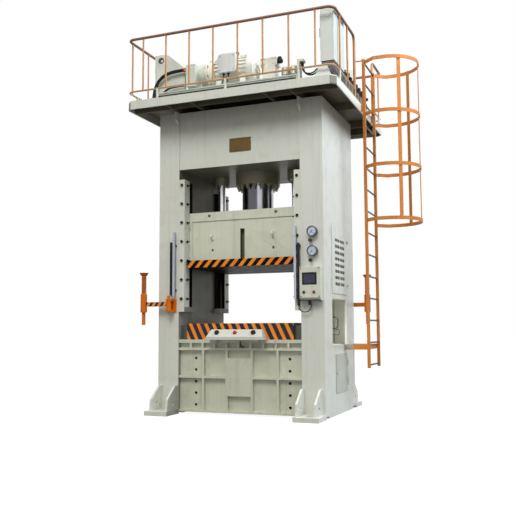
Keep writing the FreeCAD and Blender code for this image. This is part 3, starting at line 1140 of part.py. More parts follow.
# ---- console ----
def console():
    """Tapered desk on two brackets in front of the bolster, with its cable gland and a small junction box."""
    back = -BED_FLANGE_DEPTH / 2
    outline = [(CONSOLE_FRONT, BED_TOP), (CONSOLE_FRONT, CONSOLE_LIP), (CONSOLE_TOP_FRONT, CONSOLE_TOP),
               (back, CONSOLE_TOP), (back, BED_TOP)]
    desk = prism_x(outline, -CONSOLE_BOTTOM_HALF, CONSOLE_BOTTOM_HALF)
    taper = prism_y([(-CONSOLE_BOTTOM_HALF, BED_TOP), (-CONSOLE_TOP_HALF, CONSOLE_TOP),
                     (CONSOLE_TOP_HALF, CONSOLE_TOP), (CONSOLE_BOTTOM_HALF, BED_TOP)],
                    CONSOLE_FRONT, back)
    desk = desk.common(taper)
    slope = V(0, CONSOLE_TOP_FRONT - CONSOLE_FRONT, CONSOLE_TOP - CONSOLE_LIP).normalize()
    inwards = (0, slope.z, -slope.y)
    y = (CONSOLE_FRONT + CONSOLE_TOP_FRONT) / 2
    z = (CONSOLE_LIP + CONSOLE_TOP) / 2
    places = [(x, y, z) for x in (-CONSOLE_BUTTON_X, 0, CONSOLE_BUTTON_X)]
    holes = [button_hole(place, inwards, BUTTON_STEM, PALM_TRAVEL) for place in places]
    arms = []
    for x in (-300, 300):
        arms.append(prism_x([(back, BED_TOP - BED_TOP_FLANGE), (back - 20, BED_TOP - BED_TOP_FLANGE),
                             (CONSOLE_FRONT + 30, BED_TOP - 12), (CONSOLE_FRONT + 30, BED_TOP),
                             (back, BED_TOP)], x - 15, x + 15))
    y = CONSOLE_FRONT + CONSOLE_GLAND
    z = BED_TOP - GLAND_DEPTH
    gland = rod((CONSOLE_CABLE_X, y, z), (CONSOLE_CABLE_X, y, BED_TOP), 30)
    junction = box(JUNCTION_X0, JUNCTION_X1, back - 30, back, BED_TOP - BED_TOP_FLANGE, BED_TOP)
    save("console_box", [cut(join([desk, gland] + arms), holes), junction])
    push_button("palm_button_left", places[0], inwards, BUTTON_STEM, PALM_CAP, 24, PALM_TRAVEL)
    push_button("stop_button", places[1], inwards, BUTTON_STEM, STOP_CAP, 18, PALM_TRAVEL)
    push_button("palm_button_right", places[2], inwards, BUTTON_STEM, PALM_CAP, 24, PALM_TRAVEL)
    corners = [(y, z), (y, z - 36.1), (y + 16.1, z - 63.9), (y + 43.9, z - 80), (-BED_WEB_DEPTH / 2, z - 80)]
    save("console_cable", hose("console cable", [(CONSOLE_CABLE_X, y, z) for y, z in corners],
                               CONSOLE_CABLE))


def window_cable():
    """Two loops that lie in the right upright's window."""
    start = WINDOW_Y0 - PLATE
    corners = [(start, 1262), (-330, 1262), (-220, 1290), (-110, 1296), (29, 1286), (69, 1217), (29, 1148),
               (-110, 1140), (-230, 1144), (-330, 1168), (start, 1168)]
    loops = [hose("window cable", [(WINDOW_CABLE_X, y, z) for y, z in corners], WINDOW_CABLE)]
    corners = [(start, 1124), (-300, 1124), (-170, 1118), (-30, 1122), (100, 1130), (134, 1092),
               (100, 1054), (-20, 1052), (-160, 1060), (-300, 1064), (start, 1064)]
    loops.append(hose("window lead", [(WINDOW_CABLE_X, y, z) for y, z in corners], WINDOW_LEAD))
    save("window_cable", loops)


# ---- light curtains ----
def curtain(profile_x, profile_zs, bar_x, bar_zs, bracket_zs):
    """An aluminium profile and a sensor bar side by side on two brackets."""
    back = -HALF_DEPTH - CURTAIN_STANDOFF
    half = CURTAIN_BAR / 2
    pieces = [box(x - half, x + half, back - CURTAIN_DEPTH, back, *zs)
              for x, zs in ((profile_x, profile_zs), (bar_x, bar_zs))]
    x0 = min(profile_x, bar_x) - half - 5
    x1 = max(profile_x, bar_x) + half + 5
    for z in bracket_zs:
        pieces.append(box(x0, x1, back, -HALF_DEPTH, z, z + CURTAIN_SCREW_STRIP))
    return pieces


def light_curtains():
    x = UPRIGHT_INNER
    save("light_curtains",
         curtain(-x - 54, CURTAIN_LEFT_Z, -x - 97, SENSOR_LEFT_Z, CURTAIN_BRACKETS_LEFT_Z)
         + curtain(x - 62, CURTAIN_RIGHT_Z, x - 18, SENSOR_RIGHT_Z, CURTAIN_BRACKETS_RIGHT_Z))


# ---- safety posts ----
def safety_post():
    """Left front safety post: its hub, its swing arm with the sleeve and the post in the sleeve."""
    hub = (HUB_X, HUB_Y)
    pieces = [box(HUB_X - 70, HUB_X + 70, -HALF_DEPTH - 20, -HALF_DEPTH, HUB_Z0, HUB_Z1),
              rod((*hub, HUB_Z0 - 10), (*hub, HUB_Z1 + 46), HUB_PIN),
              rod((*hub, HUB_Z1), (*hub, HUB_Z1 + 46), HUB_PIN + 16)]
    for low in (HUB_Z0, HUB_Z1 - HUB_LUG):
        pieces.append(rod((*hub, low), (*hub, low + HUB_LUG), 2 * ARM_WIDTH))
        pieces.append(box(HUB_X - ARM_WIDTH, HUB_X + ARM_WIDTH, HUB_Y, -HALF_DEPTH, low, low + HUB_LUG))
    bracket = join(pieces)
    end = (HUB_X - ARM_LENGTH, HUB_Y)
    low = HUB_Z0 + HUB_LUG + END_GAP
    high = HUB_Z1 - HUB_LUG - END_GAP
    arm = join([rod((*hub, low), (*hub, high), ARM_BARREL),
                box(end[0], hub[0], HUB_Y - ARM_WIDTH / 2, HUB_Y + ARM_WIDTH / 2, ARM_Z0, ARM_Z1),
                rod((*end, SLEEVE_Z0), (*end, SLEEVE_Z1), SLEEVE_DIAMETER)])
    arm = cut(arm, [rod((*hub, low), (*hub, high), HUB_PIN + 2 * PIN_FIT),
                    rod((*end, SLEEVE_Z0), (*end, SLEEVE_Z1), POST_DIAMETER + 2 * PIN_FIT)])
    shoulder = SLEEVE_Z1 + END_GAP
    post = [rod((*end, POST_BOTTOM), (*end, shoulder + 20), POST_DIAMETER),
            rod((*end, shoulder), (*end, POST_TOP - 45), POST_CORE),
            Part.makeCone(POST_RING / 2, POST_HEAD / 2, 45, V(*end, POST_TOP - 45))]
    for number in range(POST_RING_COUNT):
        z = shoulder + number * POST_RING_PITCH
        post.append(rod((*end, z), (*end, z + POST_RING_PITCH / 2), POST_RING))
    return bracket, arm, join(post)


def safety_posts():
    bracket, arm, post = safety_post()
    save("safety_hubs", [bracket, half_turn(bracket)])
    save("safety_arm_front", arm)
    save("safety_arm_rear", half_turn(arm))
    save("safety_post_front", post)
    save("safety_post_rear", half_turn(post))


os.makedirs("parts", exist_ok=True)
uprights()
crown()
bed()
bolster()
gibs()
slide()
cylinders()
deck()
guard_rails()
ladder()
cage()
ladder_brackets()
lifting_lugs()
pipe_trough()
power_unit()
hoses()
valves()
cabinet()
doors()
name_plate()
gauges()
operator_panel()
console()
window_cable()
light_curtains()
safety_posts()
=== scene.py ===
import math
import bmesh
import bpy
from mathutils import Matrix, Vector


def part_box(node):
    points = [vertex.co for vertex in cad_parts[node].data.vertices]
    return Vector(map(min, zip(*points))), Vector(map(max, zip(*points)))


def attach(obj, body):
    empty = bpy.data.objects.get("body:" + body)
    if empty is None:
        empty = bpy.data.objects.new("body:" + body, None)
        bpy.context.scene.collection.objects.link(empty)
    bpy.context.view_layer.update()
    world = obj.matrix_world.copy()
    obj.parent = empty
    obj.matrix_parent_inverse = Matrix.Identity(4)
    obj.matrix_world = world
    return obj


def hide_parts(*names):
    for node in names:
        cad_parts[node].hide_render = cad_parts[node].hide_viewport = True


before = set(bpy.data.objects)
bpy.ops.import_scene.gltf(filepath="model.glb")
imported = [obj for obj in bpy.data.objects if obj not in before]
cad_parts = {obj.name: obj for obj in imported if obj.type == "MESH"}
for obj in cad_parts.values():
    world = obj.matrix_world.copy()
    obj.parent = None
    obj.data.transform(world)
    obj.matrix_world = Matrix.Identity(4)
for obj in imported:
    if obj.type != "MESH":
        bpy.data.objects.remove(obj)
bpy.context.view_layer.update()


# ---- camera, floor and studio light ----
# The press stands on a plain white floor, seen from its front right corner at chest height. A pale sky
# lights it, with a large soft lamp high in front, a cooler one on the right, a faint low one that reaches
# under the deck, and a small one that stands for the daylight in the right upright's window.

def feed(tree, node, inputs):
    """Each named or numbered input of a node is given a value or a socket."""
    for label, value in inputs.items():
        if isinstance(value, bpy.types.NodeSocket):
            tree.links.new(value, node.inputs[label])
        else:
            node.inputs[label].default_value = value


def add(tree, kind, inputs=None, **settings):
    """A node, with its settings made and its inputs fed."""
    node = tree.nodes.new(kind)
    for label, value in settings.items():
        setattr(node, label, value)
    feed(tree, node, inputs or {})
    return node


def worked(tree, operation, *values):
    """A sum, product or other result of values and masks."""
    return add(tree, "ShaderNodeMath", dict(enumerate(values)), operation=operation).outputs[0]


def ramp(tree, fac, low, high, to_low=0.0, to_high=1.0):
    """A mask that goes from one value to another as fac goes from low to high."""
    return add(tree, "ShaderNodeMapRange", {"Value": fac, "From Min": low, "From Max": high,
                                            "To Min": to_low, "To Max": to_high}).outputs["Result"]


def axes(tree, vector):
    """The parts of a vector along X, Y and Z."""
    return add(tree, "ShaderNodeSeparateXYZ", {0: vector}).outputs


def seen_directly(tree):
    """A mask that is 1 for what the camera, a reflection or clear glass sees, and 0 for light."""
    rays = add(tree, "ShaderNodeLightPath").outputs
    shown = worked(tree, "MAXIMUM", rays["Is Camera Ray"], rays["Is Glossy Ray"])
    return worked(tree, "MAXIMUM", shown, rays["Is Transmission Ray"])


eye = bpy.data.cameras.new("camera")
eye.lens = 50.68
eye.sensor_width = 36.0
eye.clip_end = 200.0
camera = bpy.data.objects.new("camera", eye)
camera.location = (3.833, -9.680, 1.170)
camera.rotation_euler = [math.radians(angle) for angle in (95.56, 0.29, 21.66)]
bpy.context.collection.objects.link(camera)
bpy.context.scene.camera = camera
bpy.context.scene.view_settings.view_transform = "Standard"

# brighter overhead than low down, and brighter in front than behind
sky = bpy.data.worlds.new("studio")
sky.use_nodes = True
tree = sky.node_tree
tree.nodes.clear()
way = axes(tree, add(tree, "ShaderNodeTexCoord").outputs["Generated"])
strength = worked(tree, "MULTIPLY", ramp(tree, way["Z"], 0.0, 1.0, 0.14, 1.15),
                  ramp(tree, way["Y"], -0.2, 0.7, 1.05, 0.3))
light = add(tree, "ShaderNodeBackground", {"Color": (1.0, 0.985, 0.93, 1.0), "Strength": strength})
white = add(tree, "ShaderNodeBackground", {"Color": (1.0, 1.0, 1.0, 1.0)})
either = add(tree, "ShaderNodeMixShader", {0: seen_directly(tree), 1: light.outputs[0], 2: white.outputs[0]})
add(tree, "ShaderNodeOutputWorld", {"Surface": either.outputs[0]})
bpy.context.scene.world = sky

floor_paint = bpy.data.materials.new("white floor")
floor_paint.use_nodes = True
tree = floor_paint.node_tree
tree.nodes.clear()
matt = add(tree, "ShaderNodeBsdfDiffuse", {"Color": (0.16, 0.16, 0.16, 1.0)})
glow = add(tree, "ShaderNodeEmission", {"Color": (0.93, 0.93, 0.93, 1.0), "Strength": seen_directly(tree)})
both = add(tree, "ShaderNodeAddShader", {0: matt.outputs[0], 1: glow.outputs[0]})
add(tree, "ShaderNodeOutputMaterial", {"Surface": both.outputs[0]})
FLOOR_REACH, BELOW_FEET = 60.0, 0.002
form = bmesh.new()
bmesh.ops.create_grid(form, x_segments=1, y_segments=1, size=FLOOR_REACH)
bmesh.ops.translate(form, verts=form.verts, vec=(0.0, 0.0, -BELOW_FEET))
floor_mesh = bpy.data.meshes.new("floor")
form.to_mesh(floor_mesh)
form.free()
floor_mesh.materials.append(floor_paint)
floor = bpy.data.objects.new("floor", floor_mesh)
bpy.context.collection.objects.link(floor)

for name, place, aim, size, power, colour in (
        ("front_lamp", (0.8, -10.0, 12.5), (0.0, 0.0, 2.4), 6.0, 1120.0, (1.0, 1.0, 0.99)),
        ("right_lamp", (6.8, -0.7, 9.2), (0.5, 0.0, 3.0), 5.0, 1080.0, (0.80, 0.88, 1.0)),
        ("low_lamp", (4.5, -12.0, 2.2), (0.6, 0.0, 1.4), 4.0, 45.0, (1.0, 0.98, 0.92)),
        ("window_lamp", (1.02, -0.40, 1.08), (1.0, 0.72, 1.02), 0.14, 2.3, (1.0, 0.98, 0.90))):
    light = bpy.data.lights.new(name, "AREA")
    light.shape = "DISK"
    light.size = size
    light.energy = power
    light.color = colour
    holder = bpy.data.objects.new(name, light)
    holder.location = place
    holder.rotation_euler = (Vector(aim) - Vector(place)).to_track_quat("-Z", "Y").to_euler()
    bpy.context.collection.objects.link(holder)


# ---- welded frame: uprights, crown and bed ----
# Boxes of 30 mm steel plate, welded, stress relieved and machined where they meet, then filled and
# sprayed with a pale green-grey machine enamel. Years of hydraulic mist have left faint runs on it.

def shader_group(name, inputs):
    """A node group with named inputs, which makes a colour, a roughness and a height."""
    group = bpy.data.node_groups.new(name, "ShaderNodeTree")
    for label, value in inputs.items():
        kind = {3: "Vector", 4: "Color"}[len(value)] if isinstance(value, tuple) else "Float"
        socket = group.interface.new_socket(label, in_out="INPUT", socket_type="NodeSocket" + kind)
        socket.default_value = value
    for label, kind in (("Colour", "Color"), ("Roughness", "Float"), ("Height", "Float")):
        group.interface.new_socket(label, in_out="OUTPUT", socket_type="NodeSocket" + kind)
    return group, group.nodes.new("NodeGroupInput").outputs, group.nodes.new("NodeGroupOutput")


def new_material(name):
    """A new material, with its nodes and its shader."""
    material = bpy.data.materials.new(name)
    material.use_nodes = True
    return material, material.node_tree, material.node_tree.nodes["Principled BSDF"]


def linear(red, green, blue):
    """A colour as it is seen, 0 to 255, made the linear value that a shader wants."""
    return tuple((c / 255 / 12.92) if c <= 10 else ((c / 255 + 0.055) / 1.055) ** 2.4
                 for c in (red, green, blue)) + (1.0,)


def own_place(tree):
    """The place on the piece in its own coordinates, in metres."""
    return add(tree, "ShaderNodeTexCoord").outputs["Object"]


def on_piece(tree):
    """The place on the piece along X, Y and Z, in metres."""
    return axes(tree, own_place(tree))


def facing(tree):
    """The way the surface faces, along X, Y and Z."""
    return axes(tree, add(tree, "ShaderNodeNewGeometry").outputs["Normal"])


def noise_at(tree, scale, detail, roughness=0.5, stretch=(1.0, 1.0, 1.0)):
    """Noise over the piece, finer along an axis with a larger stretch."""
    drawn = add(tree, "ShaderNodeMapping", {"Vector": own_place(tree), "Scale": stretch})
    return add(tree, "ShaderNodeTexNoise", {"Vector": drawn.outputs[0], "Scale": scale, "Detail": detail,
                                            "Roughness": roughness}).outputs["Fac"]


def blended(tree, fac, first, second, kind="MIX"):
    """A colour between two colours."""
    inputs = {0: fac, 6: first, 7: second}
    return add(tree, "ShaderNodeMix", inputs, data_type="RGBA", blend_type=kind).outputs[2]


def times(tree, first, *others):
    """A product of masks."""
    for other in others:
        first = worked(tree, "MULTIPLY", first, other)
    return first


def bumped(tree, shader, height, strength, distance):
    """Fine relief in the surface."""
    relief = {"Height": height, "Strength": strength, "Distance": distance}
    feed(tree, shader, {"Normal": add(tree, "ShaderNodeBump", relief).outputs[0]})


def coated(name, coat, strength, distance, **values):
    """A material whose colour, roughness and relief come from a node group with these values."""
    material, tree, shader = new_material(name)
    made = add(tree, "ShaderNodeGroup", values, node_tree=coat).outputs
    feed(tree, shader, {"Base Color": made["Colour"], "Roughness": made["Roughness"]})
    bumped(tree, shader, made["Height"], strength, distance)
    return material, tree, shader


# sprayed enamel: broad drifts of tone, thin runs straight down, dull spots and orange peel
enamel, given, made = shader_group("sprayed enamel", {
    "Paint": (0.6, 0.6, 0.5, 1.0), "Grime": (0.2, 0.18, 0.12, 1.0), "Soiling": 0.3, "Gloss": 0.4})
drift = ramp(enamel, noise_at(enamel, 1.3, 2.0), 0.3, 0.7, 0.0, 0.10)
runs = ramp(enamel, noise_at(enamel, 1.6, 5.0, 0.6, (9.0, 9.0, 0.35)), 0.52, 0.78)
smears = ramp(enamel, noise_at(enamel, 6.0, 6.0, 0.65), 0.5, 0.8)
dirt = times(enamel, worked(enamel, "MAXIMUM", runs, smears), given["Soiling"])
toned = blended(enamel, drift, given["Paint"], (0.92, 0.94, 0.86, 1.0), "MULTIPLY")
feed(enamel, made, {
    "Colour": blended(enamel, dirt, toned, given["Grime"]),
    "Roughness": worked(enamel, "ADD", ramp(enamel, smears, 0.0, 1.0, 0.0, 0.22), given["Gloss"]),
    "Height": noise_at(enamel, 160.0, 2.0)})


def painted(name, paint, soiling=0.3, gloss=0.38, grime=(120.65, 114.55, 97.18), shine=0.5):
    """A material of sprayed enamel. Its colours are as seen, 0 to 255."""
    material, tree, shader = coated(name, enamel, 0.12, 0.001, Paint=linear(*paint), Grime=linear(*grime),
                                    Soiling=soiling, Gloss=gloss)
    feed(tree, shader, {"Specular IOR Level": shine, "Coat Weight": 0.3 * shine, "Coat Roughness": 0.2})
    return material


def filmed(material, mask, colour):
    """Another dull colour laid over a painted material where the mask says; on some pieces it is painted
    shade.
    """
    tree = material.node_tree
    shader = tree.nodes["Principled BSDF"]
    paint = shader.inputs["Base Color"].links[0].from_socket
    feed(tree, shader, {"Base Color": blended(tree, mask, paint, linear(*colour))})
    for label in ("Specular IOR Level", "Coat Weight"):
        feed(tree, shader, {label: ramp(tree, mask, 0.0, 1.0, shader.inputs[label].default_value, 0.0)})


def take_on(piece, body, slot, *nodes):
    """A piece rides on its body and stands for the nodes named, which are hidden. Its slot is not used."""
    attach(piece, body)
    if nodes:
        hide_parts(*nodes)


def placed(name, form, material, slot, *nodes, body="frame", smooth=30.0, rounded=0.0, segments=2):
    """A finished mesh made an object, with its sharp edges kept and its corners rounded."""
    mesh = bpy.data.meshes.new(name)
    form.to_mesh(mesh)
    form.free()
    for one in material if isinstance(material, (list, tuple)) else [material]:
        mesh.materials.append(one)
    mesh.shade_smooth()
    mesh.set_sharp_from_angle(angle=math.radians(smooth))
    piece = bpy.data.objects.new(name, mesh)
    bpy.context.collection.objects.link(piece)
    if rounded:
        edge = piece.modifiers.new("rounded corners", "BEVEL")
        edge.width = rounded
        edge.segments = segments
        edge.limit_method = "ANGLE"
        edge.angle_limit = math.radians(40.0)
        edge.harden_normals = True
    take_on(piece, body, slot, *nodes)


def tinted(form, index, low=None, high=None):
    """The faces between two corners, or all faces, take one of the piece's materials by its number."""
    for face in form.faces:
        middle = face.calc_center_median()
        if low is None or all(a <= b <= c for a, b, c in zip(low, middle, high)):
            face.material_index = index
    return form


def merged(node):
    """The node's mesh with its loose triangles merged into whole faces."""
    form = bmesh.new()
    form.from_mesh(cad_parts[node].data)
    bmesh.ops.remove_doubles(form, verts=form.verts, dist=1e-5)
    bmesh.ops.dissolve_limit(form, angle_limit=math.radians(0.5), verts=form.verts, edges=form.edges)
    return tinted(form, 0)


def finished(node, slot, material, rounded=0.003, *parts, body="frame"):
    """The node's own shape with rounded corners, in place of the node. A part is two corners, and the
    faces between them take the next of its materials."""
    form = merged(node)
    for index, (low, high) in enumerate(parts, 1):
        tinted(form, index, low, high)
    placed(node + "_finished", form, material, slot, node, body=body, rounded=rounded)


def corners_of(node):
    """The node's lowest and highest corners, as vectors."""
    low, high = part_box(node)
    return Vector(low), Vector(high)


# painted shade: the walls between the uprights and the crown's underside are drawn darker, most of all high
# above the slide
press_paint = painted("press enamel", (206, 207, 196), 0.20)
tree = press_paint.node_tree
INNER_WALL, CROWN_BELOW, SHADE_FROM, SHADE_FULL = 0.888, 3.365, 1.20, 2.90
place = on_piece(tree)
inner_wall_shade = times(tree, ramp(tree, worked(tree, "ABSOLUTE", place["X"]), INNER_WALL, INNER_WALL + 0.006, 1.0, 0.0),
             ramp(tree, place["Z"], CROWN_BELOW + 0.005, CROWN_BELOW + 0.010, 1.0, 0.0),
             ramp(tree, place["Z"], SHADE_FROM, SHADE_FULL, 0.62, 0.82),
             ramp(tree, facing(tree)["Y"], -0.6, -0.5))
filmed(press_paint, inner_wall_shade, (62, 55, 30))
for node in ("left_upright", "right_upright", "crown_beam"):
    finished(node, "cream", press_paint, 0.004)
finished("bed_frame", "cream", painted("press enamel on the bed", (196, 198, 178), 0.34))


# ---- bolster ----
# The table that carries the lower die: a planed steel plate with T-slots, clamped to the bed at its
# four corners. Its front and back are painted in orange and black warning stripes.

def warning_stripes(name, pitch, lean, start, share, depth=0.0, dark_elsewhere=0.0):
    """Slanting stripes on the faces to front and back at that depth, and bare steel elsewhere, drawn nearly
    black and dull as painted shade where it faces down, and on the rest as far as the last argument says.
    """
    material, tree, shader = new_material(name)
    place, way = on_piece(tree), facing(tree)
    slant = worked(tree, "ADD", worked(tree, "MULTIPLY_ADD", place["Z"], lean, place["X"]), start)
    wave = worked(tree, "FLOORED_MODULO", slant, pitch)
    orange = blended(tree, ramp(tree, noise_at(tree, 9.0, 5.0), 0.45, 0.75, 0.0, 0.5),
                     linear(233, 138, 52), linear(196, 92, 38))
    black = blended(tree, ramp(tree, noise_at(tree, 14.0, 5.0), 0.5, 0.8, 0.0, 0.6),
                    linear(22, 15, 13), linear(58, 40, 30))
    stripes = blended(tree, ramp(tree, wave, pitch * share - 0.002, pitch * share + 0.002), orange, black)
    scuffs = ramp(tree, noise_at(tree, 55.0, 6.0, 0.7), 0.62, 0.68, 0.0, 0.55)
    worn = blended(tree, scuffs, stripes, linear(120, 112, 100))
    steel = blended(tree, ramp(tree, noise_at(tree, 8.0, 4.0, stretch=(1.0, 14.0, 14.0)), 0.3, 0.7),
                    linear(96, 92, 88), linear(140, 136, 130))
    # painted shade: faces that face down are drawn nearly black and dull; on the slide's plate all bare steel
    # is drawn that dark
    underside_shade = ramp(tree, way["Z"], -0.5, -0.6, dark_elsewhere, 1.0)
    steel = blended(tree, underside_shade, steel, linear(19, 15, 13))
    front = times(tree, ramp(tree, worked(tree, "ABSOLUTE", way["Y"]), 0.5, 0.55),
                  ramp(tree, worked(tree, "ABSOLUTE", place["Y"]), depth - 0.006, depth - 0.004))
    covered = worked(tree, "MAXIMUM", front, underside_shade)
    feed(tree, shader, {
        "Base Color": blended(tree, front, steel, worn), "Metallic": ramp(tree, covered, 0.0, 1.0, 0.9, 0.0),
        "Roughness": ramp(tree, noise_at(tree, 30.0, 4.0), 0.2, 0.8, 0.34, 0.55),
        "Specular IOR Level": ramp(tree, underside_shade, 0.0, 1.0, 0.3, 0.02)})
    return material


depth = corners_of("bolster_plate")[1].y
bolster_stripes = warning_stripes("bolster warning stripes", 0.1155, 0.47, 0.176, 0.44, depth)
finished("bolster_plate", "hazard", bolster_stripes)
finished("bolster_clamps", "steel", painted("dark clamp enamel", (70, 68, 62)), 0.002)


# ---- slide ----
# A welded box that carries the upper die, with a thick steel plate below. It is sprayed like the
# frame, and the plate's edge has warning stripes that slant the other way from the bolster's.

slide_paint = painted("slide enamel", (203, 205, 186), 0.24)
# painted shade: the inner faces of the slide's front groove are drawn dark
shaded_groove_paint = painted("groove enamel in painted shade", (92, 92, 72), 0.4, 0.6, shine=0.1)
# painted highlight: the lifting hooks are drawn lighter than the slide
lit_hook_paint = painted("hook enamel with painted highlight", (232, 232, 218), 0.2)
GROOVE, GROOVE_TOP, SLIDE_FRONT = 0.032, 2.511, -0.588
HOOK_X, HOOK_HALF, HOOK_LOW, HOOK_HIGH = 0.450, 0.013, 2.30, 2.60
form = tinted(merged("slide_body"), 1, (-GROOVE - 0.001, SLIDE_FRONT + 0.002, 2.0),
              (GROOVE + 0.001, 0.0, GROOVE_TOP + 0.001))
for x in (-HOOK_X, HOOK_X):
    tinted(form, 2, (x - HOOK_HALF, SLIDE_FRONT - 0.1, HOOK_LOW),
           (x + HOOK_HALF, SLIDE_FRONT - 0.001, HOOK_HIGH))
placed("slide_body_finished", form, [slide_paint, shaded_groove_paint, lit_hook_paint], "cream", "slide_body",
       body="slide", rounded=0.004)
depth = corners_of("slide_bottom_plate")[1].y
slide_stripes = warning_stripes("slide warning stripes", 0.130, -0.88, 0.86, 0.46, depth, 1.0)
finished("slide_bottom_plate", "hazard", slide_stripes, body="slide")


# ---- plunger, rods and cylinders ----
# The main plunger and the two side rods are chilled iron and steel, ground and hard chromed. The plunger's
# chrome is drawn darker, and darker still on its left side, as painted shade. Their flanges are turned
# steel, sprayed dull green and bolted under the crown, and drawn darker partly as painted shade.

# bright metal: fine marks from the wheel or the tool, drawn out one way, with a stain here and there
bright, given, made = shader_group("bright metal", {
    "Metal": (0.5, 0.5, 0.5, 1.0), "Stain": (0.1, 0.08, 0.06, 1.0), "Staining": 0.3, "Gloss": 0.2,
    "Grain": (1.0, 1.0, 40.0)})
marks = noise_at(bright, 12.0, 4.0, stretch=given["Grain"])
stains = times(bright, ramp(bright, noise_at(bright, 7.0, 6.0, 0.65, (1.0, 1.0, 0.4)), 0.48, 0.75),
               given["Staining"])
rough = worked(bright, "ADD", ramp(bright, marks, 0.3, 0.7, 0.0, 0.14), given["Gloss"])
feed(bright, made, {"Colour": blended(bright, stains, given["Metal"], given["Stain"]),
                    "Roughness": worked(bright, "MULTIPLY_ADD", stains, 0.3, rough), "Height": marks})


def metal(name, colour, gloss, staining, stain=(63.19, 56.33, 48.39), grain=(1.0, 1.0, 40.0), depth=0.1):
    """A material of bare, plated or turned metal. Its colours are as seen, 0 to 255."""
    material, tree, shader = coated(name, bright, depth, 0.0005, Metal=linear(*colour), Stain=linear(*stain),
                                    Staining=staining, Gloss=gloss, Grain=grain)
    feed(tree, shader, {"Metallic": 1.0})
    return material


chrome = metal("hard chrome", (232, 232, 236), 0.12, 0.45, (60, 58, 56))
turned_metal = metal("turned steel", (150, 146, 138), 0.32, 0.5, (70, 56, 40))
oiled = metal("oiled steel", (92, 90, 88), 0.3, 0.5, (34, 30, 27))
shaded_chrome = metal("hard chrome with painted shade", (186, 186, 192), 0.13, 0.5, (52, 50, 48))
# painted shade: the plunger's chrome is drawn darker than the rods', and darker still on its left side
radius = corners_of("main_plunger")[1].x
tree = shaded_chrome.node_tree
dark_side_shade = ramp(tree, on_piece(tree)["X"], 0.36 * radius, 0.28 * radius, 0.0, 0.86)
filmed(shaded_chrome, dark_side_shade, (66, 64, 70))
finished("main_plunger", "chrome", shaded_chrome, body="slide")
finished("side_rods", "chrome", chrome, 0.002, body="slide")
# the cylinders' dull green enamel is drawn darker, partly as painted shade under the crown
finished("cylinders", "steel", painted("cylinder enamel", (132, 127, 106), 0.55), 0.0015)


# ---- gibs ----
# Four L-section guide rails, planed from cast iron, painted outside and bare where the slide runs; those
# bare faces are drawn nearly black, partly as painted shade.
# Each is held by a row of screws through its face and set up by a row of screws with nuts at its side.

def turned(profile, place, way, steps, index=0):
    """A turned piece: (along, radius) points of its profile, from a place along a direction."""
    form = bmesh.new()
    points = [form.verts.new((radius, 0.0, along)) for along, radius in profile]
    edges = [form.edges.new(pair) for pair in zip(points, points[1:])]
    bmesh.ops.spin(form, geom=points + edges, cent=(0.0, 0.0, 0.0), axis=(0.0, 0.0, 1.0),
                   angle=math.tau, steps=steps, use_merge=True)
    bmesh.ops.remove_doubles(form, verts=form.verts, dist=1e-6)
    bmesh.ops.recalc_face_normals(form, faces=form.faces)
    turn = Vector(way).to_track_quat("Z", "Y").to_matrix().to_4x4()
    bmesh.ops.transform(form, matrix=Matrix.Translation(place) @ turn, verts=form.verts)
    return tinted(form, index)


def joined(forms):
    """Several forms as one."""
    whole = bmesh.new()
    for form in forms:
        spare = bpy.data.meshes.new("spare")
        form.to_mesh(spare)
        form.free()
        whole.from_mesh(spare)
        bpy.data.meshes.remove(spare)
    return whole


gib_paint = painted("gib enamel", (204, 206, 194), 0.24)
tree = gib_paint.node_tree
place, way = on_piece(tree), facing(tree)
# the faces toward the slide are bare, and drawn nearly black, partly as painted shade
inward = ramp(tree, worked(tree, "MULTIPLY", place["Y"], way["Y"]), -0.2, -0.3)
sideways = ramp(tree, worked(tree, "MULTIPLY", place["X"], way["X"]), -0.82, -0.835)
filmed(gib_paint, worked(tree, "MAXIMUM", inward, sideways), (30, 27, 23))
for corner in ("front_left", "front_right", "rear_left", "rear_right"):
    finished("gib_" + corner, "cream", gib_paint, 0.002)
black_screws = metal("black screws", (46, 44, 42), 0.42, 0.4, (22, 20, 18))
finished("gib_bolts", "dark", black_screws, 0.001)

# the side screws stand out past their nuts
NUT, STANDS_OUT, LOWEST, PITCH, COUNT, FLANGE = 0.012, 0.030, 1.559, 0.265, 7, 0.153
profile = [(0.0, 0.0), (0.0, 0.010), (STANDS_OUT - 0.002, 0.010), (STANDS_OUT, 0.008), (STANDS_OUT, 0.0)]
low, high = corners_of("gib_front_right")
screws = []
for side in (-1.0, 1.0):
    for face in (-1.0, 1.0):
        for number in range(COUNT):
            place = (side * (low.x - NUT), face * (low.y + FLANGE / 2), LOWEST + PITCH * number)
            screws.append(turned(profile, place, (-side, 0.0, 0.0), 16))
placed("gib_side_screws", joined(screws), black_screws, "dark")


# ---- service deck ----
# A floor of chequer plate on a frame of steel flats, welded to brackets on the uprights and sprayed with
# the press. Its bars are rolled in, slanting one way and then the other. Under the top plate its frame is
# drawn dark and dull, as painted shade.

deck_paint = painted("deck enamel", (197, 199, 188), 0.26)
tree = deck_paint.node_tree
BAR_PITCH, ROW_PITCH, RELIEF = 0.05, 0.0167, 0.0015
marks = []
for number, turn in enumerate((45.0, -45.0)):
    laid = add(tree, "ShaderNodeMapping", {"Vector": own_place(tree), "Rotation": (0, 0, math.radians(turn)),
                                           "Location": (0.0, BAR_PITCH / 4 * number, 0.0)})
    place = axes(tree, laid.outputs[0])
    waves = [worked(tree, "COSINE", worked(tree, "MULTIPLY", place[axis], math.tau / pitch))
             for axis, pitch in (("X", BAR_PITCH), ("Y", ROW_PITCH))]
    marks.append(times(tree, *[ramp(tree, wave, 0.1, 0.9) for wave in waves]))
bars = times(tree, worked(tree, "MAXIMUM", *marks), ramp(tree, facing(tree)["Z"], 0.9, 0.95))
bumped(tree, tree.nodes["Principled BSDF"], bars, 1.0, RELIEF)
